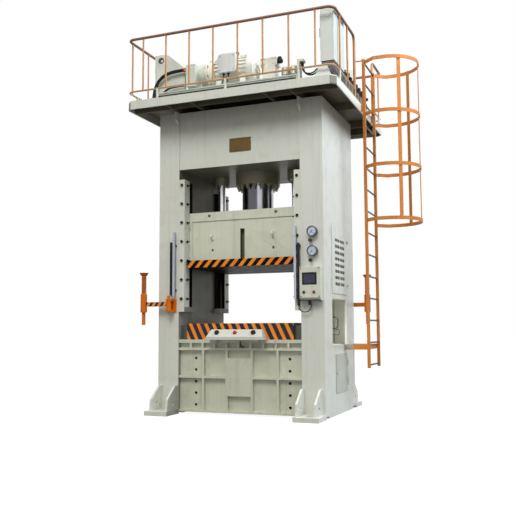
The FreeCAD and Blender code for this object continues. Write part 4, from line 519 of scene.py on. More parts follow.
# painted shade: the deck's frame under its top plate is drawn dark and dull
shaded_deck_paint = painted("deck enamel in painted shade", (98, 94, 76), 0.4, 0.6, shine=0.2)
RIM, PLATE = 0.020, 0.008
low, high = corners_of("deck_platform")
finished("deck_platform", "cream", [deck_paint, shaded_deck_paint], 0.002,
         ((low.x + RIM, low.y + RIM, low.z - 1.0), (high.x - RIM, high.y - RIM, high.z - PLATE)))


# ---- guard rails, ladder and cage ----
# Round tube, bent and welded, and flat bar for the cage, in orange safety enamel. The stubs under
# the rails are sprayed with the deck. The top rail is drawn a darker brown, as painted shade, and the
# rungs are dark bare steel.

safety_paint = painted("orange safety enamel", (190, 119, 56), 0.4, 0.42, (118, 68, 36), 0.12)
rail_paint = painted("guard rail enamel", (182, 132, 84), 0.4, 0.42, (124, 84, 56), 0.15)
# painted shade: the top rail is drawn a darker brown
shaded_top_rail_paint = painted("top rail enamel in painted shade", (132, 94, 74), 0.5, 0.4, (84, 62, 56), 0.2)
EVEN = (1.0, 1.0, 1.0)      # a metal's grain that runs no way in particular
# the rungs are drawn in dark bare steel
rung_metal = metal("dark rung steel", (84, 78, 76), 0.45, 0.5, (96, 56, 34), EVEN)
STUB_TOP, HAND_RAIL, STILE_WIDTH = 4.425, 5.145, 0.041
for node in ("guard_rail_front", "guard_rail_rear"):
    low, high = corners_of(node)
    finished(node, "orange", [rail_paint, deck_paint, shaded_top_rail_paint], 0.0,
             (low, (high.x, high.y, STUB_TOP)), ((low.x, low.y, HAND_RAIL), high))
low, high = corners_of("ladder")
finished("ladder", "orange", [safety_paint, rung_metal], 0.0015,
         ((low.x, low.y + STILE_WIDTH, low.z), (high.x, high.y - STILE_WIDTH, high.z)))
finished("ladder_cage", "orange", safety_paint, 0.0)

# the lower brackets are sprayed with the press where they meet the upright, up to a ragged edge
low, high = corners_of("ladder_brackets")
PAINTED_END, LOWER_ONES = 0.130, 0.3
bracket_paint = painted("ladder bracket enamel", (194, 117, 46), 0.5, 0.42, (104, 58, 30), 0.12)
tree = bracket_paint.node_tree
place = on_piece(tree)
ragged = ramp(tree, noise_at(tree, 30.0, 5.0, 0.6), 0.2, 0.8, -0.015, 0.015)
along = worked(tree, "ADD", place["X"], ragged)
edge = low.x + PAINTED_END
filmed(bracket_paint, times(tree, ramp(tree, along, edge, edge + 0.01, 1.0, 0.0),
                            ramp(tree, place["Z"], low.z + LOWER_ONES, low.z + LOWER_ONES + 0.01, 1.0, 0.0)),
       (150, 144, 126))
finished("ladder_brackets", "orange", bracket_paint, 0.002)


# ---- safety posts ----
# A threaded post in the sleeve of an arm that swings in under the raised slide, against its falling. The
# front arm's flat bar has warning stripes, and dark rings are painted along the thread, one at each turn.

RING_PITCH, THREAD_FROM, SLEEVE, BARREL, BAR_LOW, BAR_HIGH = 0.028, 1.640, 0.090, 0.070, 1.45, 1.52
post_paint = painted("safety post enamel", (206, 106, 18), 0.3, 0.40, (90, 44, 20), 0.15)
tree = post_paint.node_tree
height = on_piece(tree)["Z"]
# dark rings painted along the thread, one at each turn
turns = worked(tree, "FLOORED_MODULO", height, RING_PITCH)
filmed(post_paint, times(tree, ramp(tree, turns, 0.009, 0.014, 0.75, 0.0),
                         ramp(tree, height, THREAD_FROM, THREAD_FROM + 0.010)), (92, 42, 18))
arm_stripes = warning_stripes("arm warning stripes", 0.085, -0.6, 0.0, 0.5)
finished("safety_hubs", "orange", post_paint, 0.002)
low, high = corners_of("safety_arm_front")
flat_bar = ((low.x + SLEEVE + 0.01, low.y, BAR_LOW), (high.x - BARREL - 0.01, high.y, BAR_HIGH))
for side, parts in (("front", [flat_bar]), ("rear", [])):
    finished("safety_arm_" + side, "orange", [post_paint, arm_stripes], 0.0015, *parts, body="arm_" + side)
    finished("safety_post_" + side, "orange", post_paint, 0.0015, body="post_" + side)


# ---- name plate ----
# A brass plate with a raised rim, held to the front of the crown by four drive rivets. It carries no words
# here. Its brass has gone brown.

def block(low, high, index=0):
    """A block between two corners."""
    form = bmesh.new()
    bmesh.ops.create_cube(form, size=1.0)
    bmesh.ops.scale(form, vec=Vector(high) - Vector(low), verts=form.verts)
    bmesh.ops.translate(form, vec=(Vector(low) + Vector(high)) / 2, verts=form.verts)
    return tinted(form, index)


def extruded(corners, travel):
    """A flat outline, pushed along a vector."""
    form = bmesh.new()
    face = form.faces.new([form.verts.new(corner) for corner in corners])
    pushed = bmesh.ops.extrude_face_region(form, geom=[face])["geom"]
    moved = [one for one in pushed if isinstance(one, bmesh.types.BMVert)]
    bmesh.ops.translate(form, vec=travel, verts=moved)
    bmesh.ops.recalc_face_normals(form, faces=form.faces)
    return form


FRONT = Vector((0.0, -1.0, 0.0))
brass = metal("tarnished brass", (92, 76, 48), 0.46, 0.6, (66, 52, 34), EVEN, 0.3)
finished("name_plate", "brass", brass, 0.001)
low, high = corners_of("name_plate")
INSET = 0.006
head = [(0.0, 0.0), (0.0, 0.0035), (0.001, 0.0032), (0.0018, 0.0018), (0.002, 0.0)]
rivets = [turned(head, (x, low.y, z), FRONT, 12) for x in (low.x + INSET, high.x - INSET)
          for z in (low.z + INSET, high.z - INSET)]
placed("name_plate_rivets", joined(rivets), turned_metal, "steel")


# ---- pressure gauges and their valves ----
# Two dial gauges in steel cases with rolled bezels and flat glass, one for each cylinder line, each with
# a small shut-off valve below it. The dials are white, printed with 25 divisions and plain numerals.

def moulded(name, colour, gloss, dust):
    """A material of moulded or cast plastic, finely grained, with a little pale dust on it."""
    material, tree, shader = new_material(name)
    film = ramp(tree, noise_at(tree, 26.0, 5.0, 0.6), 0.5, 0.8, 0.0, dust)
    pale = blended(tree, 0.35, linear(*colour), (0.45, 0.43, 0.38, 1.0))
    feed(tree, shader, {"Base Color": blended(tree, film, linear(*colour), pale), "Specular IOR Level": 0.25,
                        "Roughness": ramp(tree, film, 0.0, 1.0, gloss, 0.9)})
    bumped(tree, shader, noise_at(tree, 900.0, 2.0), 0.15, 0.0003)
    return material


def numeral(number, size, depth, place):
    """A printed number, made a mesh and stood upright at its place."""
    figure = bpy.data.curves.new("numeral", "FONT")
    figure.body = str(number)
    figure.size = size
    figure.extrude = depth
    figure.align_x = "CENTER"
    figure.align_y = "CENTER"
    typeset = bpy.data.objects.new("numeral", figure)
    form = bmesh.new()
    form.from_mesh(bpy.data.meshes.new_from_object(typeset))
    bpy.data.objects.remove(typeset)
    stood = Matrix.Translation(place) @ Matrix.Rotation(math.pi / 2, 4, "X")
    bmesh.ops.transform(form, matrix=stood, verts=form.verts)
    return form


black = moulded("black moulding", (15, 15, 17), 0.4, 0.12)
ink = moulded("dial print", (24, 24, 26), 0.6, 0.05)
dial_white = moulded("dial enamel", (200, 206, 218), 0.35, 0.1)
case_steel = metal("gauge case", (84, 88, 98), 0.3, 0.35, (60, 60, 64), EVEN)
gauge_glass, tree, shader = new_material("gauge glass")
smudged = ramp(tree, noise_at(tree, 40.0, 4.0), 0.4, 0.8, 0.03, 0.11)
feed(tree, shader, {"Base Color": (0.93, 0.96, 1.0, 1.0), "Transmission Weight": 1.0, "IOR": 1.45,
                    "Roughness": smudged})
finished("gauges", "steel", case_steel, 0.0008)

CASE, LENS, LENS_BACK, DIAL_DEPTH = 0.067, 0.056, 0.0035, 0.010
HUB, PIN, SHEET = 0.008, 0.0021, 0.0001     # the needle passes 0.3 mm before the dial, so its sheet is thin
MARKS, PER_NUMERAL, FIRST_ANGLE, SWEEP = 25, 5, 225.0, 270.0
MARK_OUT, NUMERAL_OUT, NUMERAL_SIZE, INK_DEPTH = 0.053, 0.034, 0.0125, 0.00007
case_front = corners_of("gauges")[0].y
for name in ("upper", "lower"):
    hub = corners_of("gauge_needle_" + name)[1] - Vector((HUB, 0.0, HUB))
    middle = Vector((hub.x, case_front, hub.z))
    dial = middle - FRONT * DIAL_DEPTH
    bezel = turned([(-0.006, CASE), (-0.006, CASE + 0.0025), (-0.001, CASE + 0.003), (0.0015, CASE + 0.001),
                    (0.0025, CASE - 0.002), (0.0015, LENS + 0.001), (-0.001, LENS), (-0.006, LENS),
                    (-0.006, CASE)], middle, FRONT, 64)
    placed("gauge_bezel_" + name, bezel, case_steel, "steel", smooth=60.0)
    face = turned([(0.0, PIN), (0.0, LENS - 0.0003), (SHEET, LENS - 0.0003), (SHEET, PIN), (0.0, PIN)],
                  dial, FRONT, 64)
    marks = []
    for number in range(MARKS + 1):
        angle = math.radians(FIRST_ANGLE - SWEEP * number / MARKS)
        along = Vector((math.cos(angle), 0.0, math.sin(angle)))
        inner, wide = (0.048, 0.0005) if number % PER_NUMERAL else (0.044, 0.0011)
        aside = Vector((-along.z, 0.0, along.x)) * wide
        start, end = (dial + along * out + FRONT * SHEET for out in (inner, MARK_OUT))
        marks.append(extruded([start - aside, start + aside, end + aside, end - aside], FRONT * INK_DEPTH))
        if number % PER_NUMERAL == 0:
            form = numeral(number, NUMERAL_SIZE, 0.00003, dial + along * NUMERAL_OUT + FRONT * 0.00014)
            placed("gauge_numeral_%s_%d" % (name, number), form, ink, "dark")
    placed("gauge_dial_" + name, face, dial_white, "white")
    placed("gauge_marks_" + name, joined(marks), ink, "dark")
    lens = turned([(0.0, 0.0), (0.0, LENS - 0.0004), (0.0018, LENS - 0.0004), (0.0018, 0.0)],
                  middle - FRONT * LENS_BACK, FRONT, 64)
    placed("gauge_glass_" + name, lens, gauge_glass, "glass_screen")
    finished("gauge_needle_" + name, "dark", ink, 0.0003, body="needle_" + name)
    finished("gauge_valve_" + name, "steel", black, 0.0012, body="valve_" + name)
    low, high = corners_of("gauge_valve_" + name)
    cap = turned([(0.0, 0.0), (0.0, 0.005), (0.0012, 0.0048), (0.0018, 0.003), (0.0018, 0.0022),
                  (0.0006, 0.002), (0.0006, 0.0)],
                 ((low.x + high.x) / 2, low.y, (low.z + high.z) / 2), FRONT, 24)
    placed("gauge_valve_screw_" + name, cap, turned_metal, "steel", body="valve_" + name)


# ---- operator panel ----
# A folded sheet box with a bolted front, painted like the press, with a touch screen and two push
# buttons. The plug of its cable loom comes out below. Its legend plates are left bare.

panel_paint = painted("panel enamel", (200, 202, 186), 0.22)
low, high = corners_of("operator_panel")
panel_front, PLUG_TOP = low.y, 1.500
finished("operator_panel", "cream", [panel_paint, black], 0.003,
         ((low.x, low.y, low.z - 1.0), (high.x, high.y, PLUG_TOP)))

screen_low, screen_high = corners_of("panel_screen")
finished("panel_screen", "glass_screen", black, 0.0015)
BORDER, KEYS_PER_METRE = 0.025, 26.0
display, tree, shader = new_material("lit display")
laid = add(tree, "ShaderNodeMapping", {"Vector": own_place(tree), "Rotation": (math.pi / 2, 0.0, 0.0),
                                       "Scale": (KEYS_PER_METRE,) * 3})
keys = add(tree, "ShaderNodeTexBrick", {
    "Vector": laid.outputs[0], "Color1": linear(46, 48, 68), "Color2": linear(56, 59, 82),
    "Mortar": linear(34, 35, 50), "Scale": 1.0, "Mortar Size": 0.05, "Brick Width": 1.1, "Row Height": 0.62},
    offset=0.0)
feed(tree, shader, {"Base Color": keys.outputs["Color"], "Emission Color": keys.outputs["Color"],
                    "Emission Strength": 0.2, "Roughness": 0.12, "Coat Weight": 0.2,
                    "Specular IOR Level": 0.2})
placed("panel_display", block((screen_low.x + BORDER, panel_front - 0.0008, screen_low.z + BORDER),
                              (screen_high.x - BORDER, panel_front + 0.002, screen_high.z - BORDER)),
       display, "glass_screen")


def screw_head(place, way, radius):
    """A socket cap screw's head, with its hexagon socket left as a small recess."""
    return turned([(0.0, radius), (radius * 0.9, radius), (radius * 1.05, radius * 0.85),
                   (radius * 1.05, radius * 0.5), (radius * 0.45, radius * 0.45), (radius * 0.4, 0.0)],
                  place, way, 20)


INSET, LOWER_SCREWS = 0.018, 0.050
screws = [screw_head((x, panel_front, z), FRONT, 0.0075) for x in (low.x + INSET, high.x - INSET)
          for z in (high.z - INSET, PLUG_TOP + LOWER_SCREWS)]
placed("panel_screws", joined(screws), oiled, "steel")
# painted shade: a black strip along the panel's lower edge, where its shadow falls
placed("panel_shade_strip", block((low.x + 0.002, panel_front + 0.002, PLUG_TOP - 0.001),
                           (high.x - 0.002, high.y - 0.004, PLUG_TOP + 0.005)), black, "rubber")

ring = [(0.0, 0.0215), (0.003, 0.0215), (0.0042, 0.0195), (0.0042, 0.0185), (0.0, 0.0185)]
for slot, colour in (("green", (10, 56, 34)), ("red", (112, 22, 22))):
    node = slot + "_button"
    finished(node, slot, moulded(slot + " button", colour, 0.3, 0.1), 0.0, body=node)
    low, high = corners_of(node)
    middle = Vector(((low.x + high.x) / 2, panel_front, (low.z + high.z) / 2))
    placed(node + "_collar", turned(ring, middle, FRONT, 40), turned_metal, "steel")
    bare = moulded("bare legend " + slot, (196, 198, 196), 0.4, 0.1)
    legend = block(middle + Vector((-0.020, -0.0012, 0.026)), middle + Vector((0.020, 0.0, 0.040)))
    placed(node + "_legend", legend, bare, "aluminium", rounded=0.0004)


# ---- two-hand console ----
# A folded and welded steel desk on two brackets in front of the bolster, sprayed nearly white. Two black
# mushroom buttons start the stroke, and the red one between them stops it.

finished("console_box", "cream", painted("console enamel", (198, 196, 186), 0.14, 0.34))
stop_red = moulded("stop button", (176, 30, 34), 0.28, 0.08)
PALM_PITCH, SEAT_DEEP, SEAT_Z, STEM = 0.262, 0.050, 1.088, 0.0145
desk_low = corners_of("console_box")[0]
desk_slope = Vector((0.0, 0.100, 0.096)).normalized()
outwards = Vector((0.0, -desk_slope.z, desk_slope.y))
for node, body, material, slot, x, radius in (
        ("palm_button_left", "palm_left", black, "black_plastic", -PALM_PITCH, 0.030),
        ("stop_button", "stop", stop_red, "red", 0.0, 0.025),
        ("palm_button_right", "palm_right", black, "black_plastic", PALM_PITCH, 0.030)):
    finished(node, slot, material, 0.0, body=body)
    collar = turned([(0.0, radius), (0.0005, radius), (0.0008, radius - 0.0004), (0.0008, STEM), (0.0, STEM)],
                    (x, desk_low.y + SEAT_DEEP, SEAT_Z), outwards, 48)
    placed(node + "_collar", collar, turned_metal, "steel")


# ---- cords ----
# Rubber-sheathed cables and oil hoses. Each is whole and fixed at both ends, so it hangs in its own
# stiff curve from one fitting to the other.

rubber, tree, shader = new_material("hose rubber")
film = ramp(tree, noise_at(tree, 18.0, 5.0, 0.65), 0.5, 0.8)
feed(tree, shader, {"Base Color": blended(tree, film, linear(16, 16, 17), linear(48, 45, 40)),
                    "Roughness": ramp(tree, film, 0.0, 1.0, 0.42, 0.75), "Specular IOR Level": 0.2})
bumped(tree, shader, noise_at(tree, 700.0, 2.0), 0.2, 0.0004)


def cord(name, points, diameter, length, *nodes):
    """A cord through its control points, in one smooth curve."""
    line = bpy.data.curves.new(name, "CURVE")
    line.dimensions = "3D"
    line.bevel_depth = diameter / 2
    line.bevel_resolution = 6
    line.resolution_u = 12
    line.use_fill_caps = True
    run = line.splines.new("NURBS")
    run.points.add(len(points) - 1)
    for point, place in zip(run.points, points):
        point.co = (*place, 1.0)
    run.order_u = 3
    run.use_endpoint_u = True
    line.materials.append(rubber)
    piece = bpy.data.objects.new(name, line)
    bpy.context.collection.objects.link(piece)
    take_on(piece, "frame", "rubber", *nodes)


CONSOLE_CABLE_X, WINDOW_CABLE_X = 0.060, 1.150
route = [(-0.815, 0.985), (-0.815, 0.9489), (-0.7989, 0.9211), (-0.7711, 0.905), (-0.690, 0.905)]
cord("console_cable_cord", [(CONSOLE_CABLE_X, y, z) for y, z in route], 0.016, 0.179, "console_cable")
route = [(-0.422, 1.262), (-0.330, 1.262), (-0.220, 1.290), (-0.110, 1.296), (0.029, 1.286), (0.069, 1.217),
         (0.029, 1.148), (-0.110, 1.140), (-0.230, 1.144), (-0.330, 1.168), (-0.422, 1.168)]
cord("window_cable_cord", [(WINDOW_CABLE_X, y, z) for y, z in route], 0.012, 1.049, "window_cable")
route = [(-0.422, 1.124), (-0.300, 1.124), (-0.170, 1.118), (-0.030, 1.122), (0.100, 1.130), (0.134, 1.092),
         (0.100, 1.054), (-0.020, 1.052), (-0.160, 1.060), (-0.300, 1.064), (-0.422, 1.064)]
cord("window_lead_cord", [(WINDOW_CABLE_X, y, z) for y, z in route], 0.008, 1.132, "window_cable")
PORT_X, MAIN_HOSE_Y, LOW_HOSE_Y = -0.750, -0.880, -0.868
route = [(-1.238, 4.300), (-1.238, 4.440), (-1.195, 4.600), (-1.092, 4.708), (-0.930, 4.752), (PORT_X, 4.752)]
cord("main_hose_cord", [(x, MAIN_HOSE_Y, z) for x, z in route], 0.048, 0.795, "pump_hoses")
route = [(-1.130, 4.300), (-1.130, 4.395), (-1.085, 4.475), (-1.000, 4.525), (-0.880, 4.535), (PORT_X, 4.535)]
cord("low_hose_cord", [(x, LOW_HOSE_Y, z) for x, z in route], 0.028, 0.531, "pump_hoses")
route = [(0.965, 4.640), (0.965, 4.530), (1.030, 4.465), (1.122, 4.465), (1.187, 4.530), (1.283, 4.530)]
for number, y in enumerate((-0.850, -0.790)):
    cord("cabinet_hose_cord_%d" % (number + 1), [(x, y, z) for x, z in route], 0.020, 0.465, "cabinet_hoses")


# ---- doors ----
# Sheet steel doors on lift-off hinges in the right upright's side, sprayed with the frame, with turned
# latches. The tall one has rows of punched vents. The lower one is drawn darker, as painted shade.

door_paint = painted("door enamel", (206, 208, 196), 0.24)
# painted shade: the lower door is drawn darker than the tall one
shaded_hatch_paint = painted("lower door enamel in painted shade", (170, 174, 162), 0.34)
latch_steel = metal("latch steel", (168, 168, 162), 0.4, 0.4)
LEAF_FACE, LATCH_IN = 1.2083, 0.060
low, high = corners_of("vent_door")
finished("vent_door", "cream", [door_paint, latch_steel], 0.0015,
         ((LEAF_FACE, high.y - LATCH_IN, low.z), high), body="vent_door")
low, high = corners_of("lower_door")
finished("lower_door", "cream", [shaded_hatch_paint, latch_steel], 0.0015,
         ((LEAF_FACE, low.y, low.z), (high.x, low.y + LATCH_IN, high.z)), body="lower_door")


# ---- light curtains ----
# An extruded aluminium profile with a groove in each face, and beside it a black sensor bar with a dark
# red window, both on small brackets bolted to the upright. A short lead runs from the right bar to the
# plug under the operator panel.

anodised = metal("anodised profile", (176, 180, 190), 0.34, 0.15, (120, 120, 124), (1.0, 1.0, 0.02))
window_red = moulded("sensor window", (30, 8, 12), 0.12, 0.04)
BAR, BAR_DEPTH, STANDOFF, GROOVE, GROOVE_DEPTH = 0.030, 0.034, 0.025, 0.004, 0.005
CAP, WINDOW_HALF, WINDOW_IN, BRACKET, BRACKET_PAST, PAST_SCREW = 0.012, 0.008, 0.040, 0.030, 0.005, 0.0025
back = corners_of("light_curtains")[1].y - STANDOFF


def grooved_profile(x, low_z, high_z):
    """A rectangular profile with a groove along the middle of its front and of both sides."""
    half, front = BAR / 2, back - BAR_DEPTH
    middle = back - BAR_DEPTH / 2
    right = [(half, back), (half, middle + GROOVE), (half - GROOVE_DEPTH, middle + GROOVE),
             (half - GROOVE_DEPTH, middle - GROOVE), (half, middle - GROOVE), (half, front)]
    nose = [(GROOVE, front), (GROOVE, front + GROOVE_DEPTH), (-GROOVE, front + GROOVE_DEPTH),
            (-GROOVE, front)]
    left = [(-across, deep) for across, deep in reversed(right)]
    return extruded([(x + across, deep, low_z) for across, deep in right + nose + left],
                    (0.0, 0.0, high_z - low_z))


def sensor_bar(x, low_z, high_z):
    """A black bar with end caps and a window."""
    half, front = BAR / 2, back - BAR_DEPTH
    body = block((x - half + 0.001, front + 0.001, low_z + CAP), (x + half - 0.001, back, high_z - CAP))
    caps = [block((x - half, front, z), (x + half, back, z + CAP)) for z in (low_z, high_z - CAP)]
    window = block((x - WINDOW_HALF, front + 0.0002, low_z + WINDOW_IN),
                   (x + WINDOW_HALF, front + 0.004, high_z - WINDOW_IN), 1)
    return joined([body, window] + caps)


pieces = []
for side, profile_x, profile_zs, bar_x, bar_zs, bracket_zs in (
        ("left", -0.942, (1.580, 2.480), -0.985, (1.605, 2.341), (1.660, 2.280)),
        ("right", 0.826, (1.516, 2.482), 0.870, (1.439, 2.250), (1.620, 2.200))):
    placed("curtain_profile_" + side, grooved_profile(profile_x, *profile_zs), anodised, "aluminium",
           "light_curtains", rounded=0.0006)
    placed("curtain_sensor_" + side, sensor_bar(bar_x, *bar_zs), [black, window_red], "black_plastic",
           "light_curtains", rounded=0.0008)
    reach = BAR / 2 + BRACKET_PAST
    left, right = min(profile_x, bar_x) - reach, max(profile_x, bar_x) + reach
    for z in bracket_zs:
        pieces.append(block((left, back, z), (right, back + STANDOFF, z + BRACKET)))
        pieces += [screw_head((x, back, z + BRACKET / 2), FRONT, PAST_SCREW)
                   for x in (left + PAST_SCREW, right - PAST_SCREW)]
placed("curtain_brackets", joined(pieces), black, "aluminium", "light_curtains", rounded=0.001)
low, high = corners_of("operator_panel")
plug_x, plug_y, bar_x = (low.x + high.x) / 2, high.y - 0.045, 0.870
route = [(plug_x, plug_y, low.z), (plug_x, plug_y, 1.385), ((plug_x + bar_x) / 2, plug_y + 0.0015, 1.345),
         (bar_x, plug_y + 0.003, 1.382), (bar_x, plug_y + 0.003, 1.439)]
cord("curtain_lead_cord", route, 0.012, 0.2765)


# ---- lifting lugs and pipe trough ----
# Two thick flame-cut lugs, each with a hard bush in its eye, carry the whole press on a crane. The pipe
# trough along the deck's front edge has a bolted lid, and a dark strip along its front is painted shade
# under the lid.

finished("lifting_lugs", "cream", press_paint)
EYE, BUSH_WALL, LUG_HALF, EYE_X, EYE_Z = 0.045, 0.016, 0.027, 0.095, 4.962
low, high = corners_of("lifting_lugs")
eye_x = low.x + EYE_X
for name, x, y in (("front", eye_x, low.y + 0.025), ("rear", -eye_x, high.y - 0.025)):
    bush = turned([(-LUG_HALF, EYE - BUSH_WALL), (-LUG_HALF, EYE - 0.001), (LUG_HALF, EYE - 0.001),
                   (LUG_HALF, EYE - BUSH_WALL), (-LUG_HALF, EYE - BUSH_WALL)], (x, y, EYE_Z), FRONT, 40)
    placed("lifting_bush_" + name, bush, oiled, "steel", smooth=50.0)

UP, RIGHT = Vector((0.0, 0.0, 1.0)), Vector((1.0, 0.0, 0.0))
seal = moulded("rubber seal and trough shade strip", (44, 46, 44), 0.7, 0.4)
finished("pipe_trough", "cream", painted("trough enamel", (196, 202, 192), 0.3), 0.002)
low, high = corners_of("pipe_trough")
trough_top = high.z
# painted shade: a dark strip on the trough's front, under its lid
strip = block((low.x + 0.010, low.y - 0.0015, high.z - 0.076),
              (high.x - 0.010, low.y + 0.010, high.z - 0.044))
placed("trough_shade_strip", strip, seal, "rubber", rounded=0.001)
FIRST_SCREW, SCREW_PITCH = 0.06, 0.24
screws = [screw_head((low.x + FIRST_SCREW + SCREW_PITCH * number, (low.y + high.y) / 2, high.z), UP, 0.006)
          for number in range(9)]
placed("trough_screws", joined(screws), turned_metal, "steel")


# ---- motor, bell housing and pump ----
# A finned cast motor with a pressed fan cowl, bolted to the pump through a bell housing, all sprayed in
# the press colour, though the motor, bell housing and cowl guard are drawn lighter, as painted light. The
# terminal box on its front is a rounded casting with a bolted lid, and its two cables go down into the
# pipe trough.

def hexagon_head(place, way, across, height):
    """A hexagon bolt's head with a washer face under it."""
    face, corner = height * 0.14, across / math.sqrt(3)
    washer = turned([(0.0, 0.0), (0.0, across * 0.62), (face, across * 0.62), (face, 0.0)], place, way, 24)
    head = turned([(face, 0.0), (face, corner), (height, corner), (height, 0.0)], place, way, 6)
    return joined([washer, head])


def around(count, start=0.0):
    """Directions evenly spaced about the X axis."""
    for number in range(count):
        angle = math.tau * (number + start) / count
        yield Vector((0.0, math.cos(angle), math.sin(angle)))


# painted light: the motor's enamel is drawn lighter than the press colour
lit_motor_paint = painted("motor enamel lightened as painted light", (230, 229, 217), 0.22)
finished("motor", "grey", lit_motor_paint, 0.0015)
finished("bell_housing", "grey", lit_motor_paint, 0.002)
finished("pump", "grey", painted("pump enamel", (198, 202, 190), 0.42), 0.004)
low, high = corners_of("motor")
SHAFT_Z, BOLTS = 4.700, 8
shaft_y = (low.y + high.y) / 2
bell_x = corners_of("bell_housing")[0].x
for name, x, radius in (("motor_bolts", low.x + 0.030, 0.196), ("bell_bolts", bell_x + 0.020, 0.182)):
    heads = [hexagon_head(Vector((x, shaft_y, SHAFT_Z)) + along * radius, RIGHT, 0.018, 0.012)
             for along in around(BOLTS, 0.5)]
    placed(name, joined(heads), turned_metal, "steel")
cowl = Vector((high.x, shaft_y, SHAFT_Z))
FIRST_RING, RING_STEP, BAR_HALF, BARS = 0.045, 0.030, 0.004, 12
grille = []
for number in range(5):
    radius = FIRST_RING + RING_STEP * number
    grille.append(turned([(0.0, radius), (0.004, radius + 0.002), (0.004, radius + 0.010),
                          (0.0, radius + 0.012), (0.0, radius)], cowl, RIGHT, 48))
for along in around(BARS):
    aside = Vector((0.0, -along.z, along.y)) * BAR_HALF
    start, end = cowl + along * 0.035, cowl + along * 0.190
    grille.append(extruded([start - aside, start + aside, end + aside, end - aside], RIGHT * 0.003))
placed("motor_cowl_guard", joined(grille), lit_motor_paint, "grey", smooth=40.0)
EYE_BOLT_X, THICK, MIDDLE = -0.030, 0.008, 0.026
round_bar = [(-THICK * along.y, MIDDLE + THICK * along.z) for along in around(12)]
eye_ring = turned(round_bar + round_bar[:1], (EYE_BOLT_X, shaft_y, high.z + 0.040), (0.3, 1.0, 0.0), 32)
eye_stem = turned([(0.0, 0.0), (0.0, 0.024), (0.006, 0.024), (0.006, 0.012), (0.020, 0.009), (0.020, 0.0)],
                  (EYE_BOLT_X, shaft_y, high.z - 0.002), UP, 24)
placed("motor_eye_bolt", joined([eye_ring, eye_stem]), oiled, "steel", smooth=50.0)

box_paint = painted("terminal box enamel", (200, 204, 202), 0.16)
LID, LID_LIP, CORNER, SCREW_IN = 0.030, 0.003, 0.045, 0.036
low, high = corners_of("terminal_box")
body = block((low.x + LID_LIP, low.y + LID, low.z + LID_LIP),
             (high.x - LID_LIP, high.y - 0.010, high.z - LID_LIP))
placed("terminal_box_body", body, box_paint, "grey", "terminal_box", rounded=0.030, segments=5)
lid = block(low, (high.x, low.y + LID - 0.002, high.z))
across = [edge for edge in lid.edges if abs(edge.verts[0].co.y - edge.verts[1].co.y) > LID / 2]
bmesh.ops.bevel(lid, geom=across, offset=CORNER, segments=8, profile=0.5, affect="EDGES", material=-1)
placed("terminal_box_lid", lid, box_paint, "grey", "terminal_box", rounded=0.006, segments=3)
placed("terminal_box_seal", block((low.x + 0.014, low.y + LID - 0.003, low.z + 0.014),
                                  (high.x - 0.014, low.y + LID + 0.004, high.z - 0.014)),
       seal, "rubber", rounded=0.01)
fixings = [screw_head((x, low.y, z), FRONT, 0.0065) for x in (low.x + SCREW_IN, high.x - SCREW_IN)
           for z in (low.z + SCREW_IN, high.z - SCREW_IN)]
gland = [(0.0, 0.0), (0.0, 0.018), (0.014, 0.018), (0.014, 0.015), (0.026, 0.013), (0.026, 0.0)]
leave_y, enter_y, cable_xs = low.y + 0.045, low.y - 0.025, (low.x + 0.07, low.x + 0.14)
fixings += [turned(gland, (x, leave_y, low.z + LID_LIP), -UP, 24, 1) for x in cable_xs]
placed("terminal_box_fixings", joined(fixings), [turned_metal, black], "steel")
grommet = [(0.0, 0.0072), (0.0, 0.016), (0.004, 0.016), (0.008, 0.011), (0.008, 0.0072), (0.0, 0.0072)]
LEAVE_Z, BEND_Z, ENTER_Z = 4.590, 4.540, trough_top + 0.050
for number, x in enumerate(cable_xs, 1):
    enter = (x, enter_y, trough_top)
    route = [(x, leave_y, LEAVE_Z), (x, leave_y, BEND_Z),
             (x, (leave_y + enter_y) / 2, (LEAVE_Z + trough_top) / 2), (x, enter_y, ENTER_Z), enter]
    cord("motor_cable_cord_%d" % number, route, 0.014, 0.2093)
    placed("motor_cable_grommet_%d" % number, turned(grommet, enter, UP, 24), black, "rubber")


# ---- oil tank, valves and filters ----
# The welded tank lies across the deck under the motor. On it stand the valve block with its black
# solenoid coil, and beside it the two line filters and the stand pipe for the cabinet's hoses.

finished("oil_tank", "cream", press_paint)
FIRST_BOLT, BOLT_PITCH, BOLT_IN = 0.05, 0.155, 0.020
low, high = corners_of("oil_tank")
heads = [hexagon_head((low.x + FIRST_BOLT + BOLT_PITCH * number, y, high.z), UP, 0.016, 0.010)
         for number in range(9) for y in (low.y + BOLT_IN, high.y - BOLT_IN)]
placed("oil_tank_bolts", joined(heads), turned_metal, "steel")

valve_paint = painted("valve enamel", (214, 213, 200), 0.3)
filter_steel = metal("filter heads", (176, 172, 158), 0.42, 0.5, (70, 62, 50), EVEN)
FILTERS_FROM, FILTERS_TO, HEADS_LOW, HEADS_HIGH = 0.62, 0.86, 4.538, 4.642
low, high = corners_of("valve_block")
finished("valve_block", "white", [valve_paint, filter_steel], 0.002,
         ((FILTERS_FROM, low.y, HEADS_LOW), (FILTERS_TO, high.y, HEADS_HIGH)))
BLOCK_END, BLOCK_Z, BLOCK_FRONT = 0.580, 4.745, 0.080
coil = turned([(0.0, 0.0), (0.0, 0.030), (0.004, 0.034), (0.060, 0.034), (0.064, 0.030), (0.064, 0.014),
               (0.074, 0.014), (0.074, 0.0)], (BLOCK_END, shaft_y - 0.035, BLOCK_Z), RIGHT, 32)
plug = block((BLOCK_END + 0.012, shaft_y - 0.060, BLOCK_Z + 0.030),
             (BLOCK_END + 0.052, shaft_y - 0.010, BLOCK_Z + 0.058))
placed("valve_coil", joined([coil, plug]), black, "black_plastic", rounded=0.001)
heads = [screw_head((x, shaft_y - BLOCK_FRONT, z), FRONT, 0.007) for x in (0.360, 0.400, 0.520, 0.560)
         for z in (4.708, 4.782)]
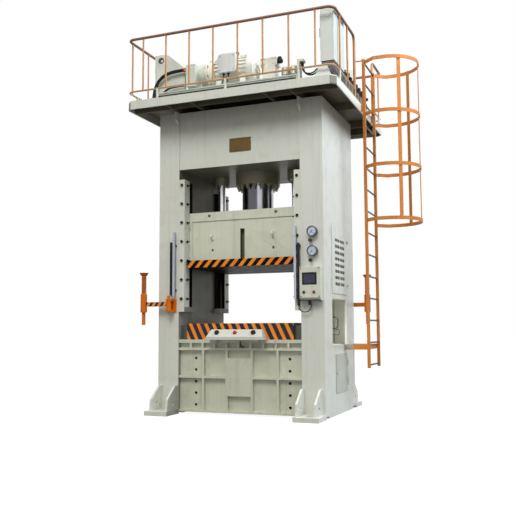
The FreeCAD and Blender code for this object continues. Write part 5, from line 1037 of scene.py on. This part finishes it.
placed("valve_screws", joined(heads), turned_metal, "steel")
copper = metal("copper plated fittings", (190, 118, 62), 0.3, 0.35, (84, 52, 34), EVEN)
finished("hose_fittings", "copper", copper, 0.0015)

block_steel = metal("manifold steel", (158, 152, 140), 0.36, 0.45, (96, 66, 40), (1.0, 14.0, 1.0))
COIL_Z, VALVES = 4.530, 8
low, high = corners_of("valve_manifold")
finished("valve_manifold", "grey", [block_steel, black], 0.0015,
         ((low.x, low.y, COIL_Z + 0.0002), high))
nuts, plugs = [], []
for number in range(VALVES):
    middle = Vector(((low.x + high.x) / 2, low.y + (number + 0.5) * (high.y - low.y) / VALVES, high.z))
    nuts.append(hexagon_head(middle, UP, 0.026, 0.014))
    plugs.append(block(middle + Vector((0.026, -0.016, -0.090)), middle + Vector((0.058, 0.016, -0.050))))
    for aside in (-0.030, 0.030):
        nuts.append(screw_head(middle + Vector((-0.032, aside, -0.170)), -RIGHT, 0.006))
placed("manifold_nuts", joined(nuts), turned_metal, "steel")
placed("manifold_plugs", joined(plugs), black, "black_plastic", rounded=0.003)


# ---- electrical cabinet ----
# A folded steel cabinet, powder coated pale grey, on a dark stand at the deck's right front corner, with
# a white guard plate bolted in front of the stand and a door in its inner side.

cabinet_paint = painted("cabinet coating", (192, 196, 190), 0.14, 0.5)
plate_paint = painted("guard plate enamel", (214, 216, 208), 0.12)
stand_paint = painted("stand enamel", (58, 54, 56), 0.35)
CABINET_FOOT, SHELL_FRONT, HANDLE_OUT, HANDLE_WIDE = 4.525, -1.060, 0.0135, 0.070
low, high = corners_of("electrical_cabinet")
finished("electrical_cabinet", "white", [cabinet_paint, stand_paint, plate_paint], 0.002,
         ((low.x, SHELL_FRONT + 0.001, low.z), (high.x, high.y, CABINET_FOOT - 0.001)),
         (low, (high.x, SHELL_FRONT - 0.020, high.z)))
low, high = corners_of("cabinet_door")
finished("cabinet_door", "white", [cabinet_paint, black], 0.0015,
         (low, (low.x + HANDLE_OUT, low.y + HANDLE_WIDE, high.z)), body="cabinet_door")
